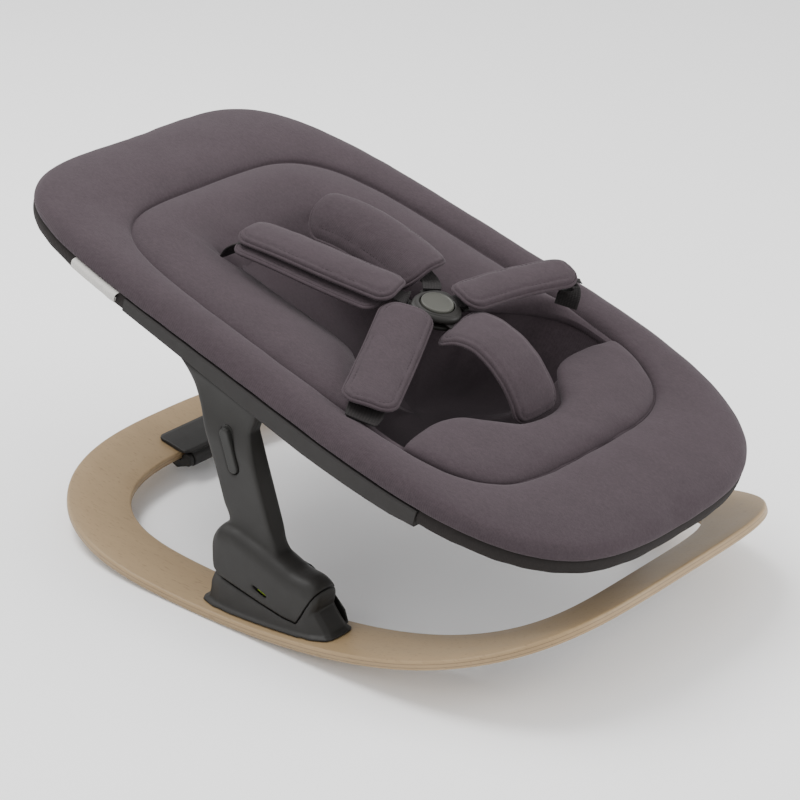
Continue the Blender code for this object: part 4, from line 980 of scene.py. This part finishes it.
def stitches(name, route):
    """Row of short thread dashes along a closed route."""
    points, faces = [], []
    walked = 0.0
    start = None
    loop = route + route[:1]
    for here, ahead in zip(loop, loop[1:]):
        if start is None:
            start = here
            walked = 0.0
        walked += (ahead - here).length
        if walked >= STITCH_LENGTH:
            along = ahead - start
            tip = start + along * 0.7
            side = along.cross(UP).normalized() * THREAD_RADIUS
            over = along.cross(side).normalized() * THREAD_RADIUS
            middle = (start + tip) / 2
            first = len(points)
            points += [start, tip, middle + side, middle + over, middle - side, middle - over]
            for a, b in ((2, 3), (3, 4), (4, 5), (5, 2)):
                faces += [(first, first + a, first + b), (first + 1, first + b, first + a)]
            start = None
    build(name, points, faces, "thread", "seat", smooth=None, slot_name="webbing")


def tape(name, node, path, level, widths, thick=0.0018):
    """Flat webbing with thick rounded edges and its own lengthwise coordinates for the weave."""
    frames = path_frames(path, level)
    e = thick / 2
    points, along, across = [], [], []
    walked = 0.0
    for i, (point, side, up) in enumerate(frames):
        if i:
            walked += (point - frames[i - 1][0]).length
        half = np.interp(i / (len(frames) - 1), np.linspace(0.0, 1.0, len(widths)), widths) / 2
        edge = [(half - e * (1 - math.cos(a)), e * math.sin(a)) for a in np.linspace(0, math.pi / 2, 5)]
        section = [(-x, h) for x, h in edge]
        section += [(half * f, e * 0.9) for f in (-0.75, -0.35, 0.0, 0.35, 0.75)] + edge[::-1]
        section += [(x, -h) for x, h in reversed(section[1:-1])]
        for x, h in section:
            points.append(point + side * x + up * h)
            along.append(walked)
            across.append(x)
    faces = grid_faces(len(frames), len(section), False, True, True)
    piece = build(name, points, faces, "webbing", "seat", [node], 50.0, outward=True)
    float_attribute(piece.data, "along", along)
    float_attribute(piece.data, "across", across)


SHOULDER = {
    "left": [(-0.059, 0.15, 0.037), (-0.053, 0.1, 0.045), (-0.041, 0.04, 0.049),
             (-0.024, -0.02, 0.0515)],
    "right": [(0.047, 0.15, 0.033), (0.048, 0.1, 0.043), (0.044, 0.04, 0.047),
              (0.032, -0.012, 0.05)],
}
# Each cover's width, thickness, corner radius, curl and the curl's offset
COVERS = {
    "shoulder_left": (0.048, 0.011, 0.015, 7.0, 0.002),
    "lining": (0.036, 0.007, 0.012, 4.0, 0.004),
    "shoulder_right": (0.054, 0.0125, 0.02, 20.0, 0.012),
    "waist_left": (0.053, 0.011, 0.017, 5.0, 0.0),
    "waist_right": (0.043, 0.012, 0.016, 9.0, 0.0),
    "crotch": (0.062, 0.012, 0.013, 3.0, 0.0),
}
LINING = [(-0.072, 0.144, 0.027), (-0.066, 0.098, 0.0325), (-0.055, 0.04, 0.0355),
          (-0.04, -0.012, 0.037)]
WAIST = {
    "left": [(-0.029, -0.041, 0.045), (-0.095, -0.077, 0.037), (-0.167, -0.114, 0.029)],
    "right": [(0.019, -0.063, 0.0535), (0.085, -0.078, 0.059), (0.148, -0.099, 0.063)],
}
CROTCH = [(0.0, -0.076, 0.041), (0.0, -0.104, 0.049), (0.0, -0.136, 0.048),
          (0.0, -0.165, 0.037), (0.0, -0.187, 0.019), (0.0, -0.196, 0.002)]


def harness():
    for tag, side in (("left", -1), ("right", 1)):
        pad = SHOULDER[tag]
        harness_pad("shoulder_cover_" + tag, "shoulder_pad_" + tag, pad, True, *COVERS["shoulder_" + tag])
        if side < 0:
            harness_pad("shoulder_cover_left_lining", "shoulder_pad_left", LINING, True,
                        *COVERS["lining"])
        shift, drop = (-0.006, 0.0068) if side < 0 else (0.0105, 0.0105)
        route = [(side * SLOT[0], SLOT[1] + 0.006, 0.002), (side * (SLOT[0] - 0.001), SLOT[1], 0.017)]
        route += [(u + shift * (v + 0.03) / 0.15, v - 0.012 * (v > 0.12), n - drop) for u, v, n in pad]
        route.append((side * 0.018, -0.03, 0.042))
        tape("shoulder_webbing_" + tag, "shoulder_strap_" + tag, route, True, (0.024, 0.024, 0.018),
             0.0022)
        pad = WAIST[tag]
        harness_pad("waist_cover_" + tag, "waist_pad_" + tag, pad, False, *COVERS["waist_" + tag])
        u, v, n = pad[-1]
        route = [(side * 0.02, -0.056, 0.041)] + [(a, b, h - 0.0105) for a, b, h in pad[1:]]
        if side > 0:
            route[-1:] = [(u - 0.004, v + 0.001, n - 0.0095), (u + 0.004, v - 0.002, n - 0.017),
                          (u + 0.0045, v - 0.004, n - 0.029), (u + 0.001, v - 0.006, n - 0.043)]
            widths = (0.018, 0.032, 0.026, 0.024, 0.024, 0.024)
        else:
            route.append((u - 0.008, v - 0.004, n - 0.0135))
            widths = (0.018, 0.034, 0.036, 0.025)
        tape("waist_webbing_" + tag, "waist_strap_" + tag, route, False, widths, 0.0026)
    harness_pad("crotch_cover", "crotch_pad", CROTCH, True, *COVERS["crotch"], twist=0.26)
    lower = [(0.0, -0.072, 0.037)]
    lower += [(u, v + 0.006 * (n < 0.04), n - 0.01) for u, v, n in CROTCH[1:-2]]
    lower += [(0.0, -0.178, 0.006)]
    tape("crotch_webbing", "crotch_strap", lower, True, (0.02, 0.03, 0.034, 0.034, 0.03))


def buckle():
    """Round buckle: lobed shell, dished press button and ribbed tongues."""
    count = 120
    angles = [math.tau * k / count for k in range(count)]

    def at(r, angle, n):
        return seat(*polar(BUCKLE, r, angle), n + BUCKLE_RISE)

    def lobed(angle, r):
        lobes = (25, 155, 270)
        swell = max(math.exp(-((math.degrees(angle) - a + 180) % 360 - 180) ** 2 / 900) for a in lobes)
        return r * (1 + 0.16 * swell)

    def turned(name, profile, slot, body, node, closed):
        fine = spline(profile, 3, closed=closed)
        points = [at(lobed(a, r) if r > 0.02 else r, a, n) for r, n in fine for a in angles]
        faces = grid_faces(len(fine), count, closed, True, not closed)
        build(name, points, faces, slot, body, [node], 55.0, outward=True)

    turned("buckle_base", [(0.019, 0.0336), (0.0215, 0.0336), (0.0233, 0.0346), (0.0236, 0.0362),
                           (0.023, 0.0378), (0.0205, 0.0383)], "plastic", "seat", "buckle_back", False)
    turned("buckle_shell", [(0.0176, 0.0419), (0.0215, 0.0419), (0.0236, 0.043), (0.0241, 0.045),
                            (0.0234, 0.0474), (0.0218, 0.0489), (0.0203, 0.0493), (0.0199, 0.0499),
                            (0.0188, 0.0502), (0.0179, 0.0497), (0.0175, 0.0485), (0.0175, 0.0445)],
           "plastic", "seat", "buckle_front", True)
    turned("buckle_press", [(0.015, 0.0462), (0.0166, 0.0464), (0.0168, 0.048), (0.0168, 0.0504),
                            (0.0163, 0.0516), (0.0153, 0.0518), (0.0142, 0.0513), (0.011, 0.0509),
                            (0.005, 0.0507), (0.0012, 0.0507)],
           "button", "buckle_press", "buckle_button", False)
    plates = {"shoulder_tongue_left": (125, 0.0345), "shoulder_tongue_right": (55, 0.0345),
              "waist_tongue_left": (196, 0.037), "waist_tongue_right": (346, 0.037)}
    for node, (degrees, reach) in plates.items():
        tongue(node, math.radians(degrees), reach)


def tongue(node, angle, reach):
    """Tongue plate with four grip ribs on its outer end."""
    half_outline = [(0.0125, 0.0062), (reach - 0.01, 0.0066), (reach - 0.008, 0.0084),
                    (reach - 0.0015, 0.0084), (reach, 0.007)]
    rows = []
    for r, w in spline(half_outline, 6):
        rib = max(math.exp(-((r - (reach - 0.0018 - 0.0024 * k)) / 0.0007) ** 2) for k in range(4))
        rows.append((r, w, 0.0007 * rib))
    section = [(-1.0, 0.0398), (-0.94, 0.0412), (-0.5, 0.0415), (0.0, 0.0416), (0.5, 0.0415),
               (0.94, 0.0412), (1.0, 0.0398), (0.94, 0.039), (0.0, 0.0388), (-0.94, 0.039)]
    points = []
    for r, w, rib in rows:
        for f, n in section:
            u, v = polar(polar(BUCKLE, r, angle), f * w, angle + math.pi / 2)
            outside = r > 0.0255 and n > 0.041
            points.append(seat(u, v, n + BUCKLE_RISE + (rib if outside else 0.0)))
    faces = grid_faces(len(rows), len(section), False, True, True)
    build(node + "_plate", points, faces, "plastic", "seat", [node], 50.0, outward=True)


# -------- stage
def set_camera():
    """Camera on a sphere round the aim point; azimuth 0 looks along +Y."""
    back = Vector((math.sin(AZIMUTH) * math.cos(ELEVATION), -math.cos(AZIMUTH) * math.cos(ELEVATION),
                   math.sin(ELEVATION)))
    right = Vector((math.cos(AZIMUTH), math.sin(AZIMUTH), 0.0))
    up = back.cross(right)
    camera = link("camera", assign(bpy.data.cameras.new("camera"), lens=LENS, clip_end=50.0))
    turn = Matrix((right, up, back)).transposed().to_4x4()
    camera.matrix_world = Matrix.Translation(AIM + back * DISTANCE) @ turn
    bpy.context.scene.camera = camera


def area_light(name, place, power, size):
    lamp = link(name, assign(bpy.data.lights.new(name, "AREA"), energy=power, size=size))
    lamp.location = place
    lamp.rotation_euler = (Vector((0, 0, 0.15)) - lamp.location).to_track_quat("-Z", "Y").to_euler()


def set_stage():
    world = bpy.data.worlds.new("studio")
    bpy.context.scene.world = world
    world.use_nodes = True
    back = world.node_tree.nodes["Background"]
    back.inputs["Color"].default_value = (1.0, 1.0, 1.0, 1.0)
    back.inputs["Strength"].default_value = 0.95
    area_light("key", (-0.2, 1.1, 2.6), 92, 1.8)
    area_light("left", (-2.2, -0.3, 1.3), 11, 1.6)
    area_light("right", (1.2, -2.0, 1.2), 44, 1.6)
    floor = bpy.data.meshes.new("floor")
    reach = 14.0
    corners = [(x * reach, y * reach, -0.0005) for x, y in ((-1, -1), (1, -1), (1, 1), (-1, 1))]
    floor.from_pydata(corners, [], [(0, 1, 2, 3)])
    piece = link("floor", floor)
    s = Shader("floor", roughness=0.7, specular=0.2)
    s.finish(Base_Color=s.mix(s.noise(2.0), (0.95, 0.95, 0.95), (0.97, 0.97, 0.97)))
    floor.materials.append(s.material)


set_camera()
set_stage()
make_hard_pieces()
seat_cushion()
well_liner()
legrest_cushion()
edge_sleeve("head", RAIL_V[1] + 0.001)
edge_sleeve("foot", RAIL_V[0] - 0.001)
side_tag()
harness()
buckle()
keep_cad_nodes()
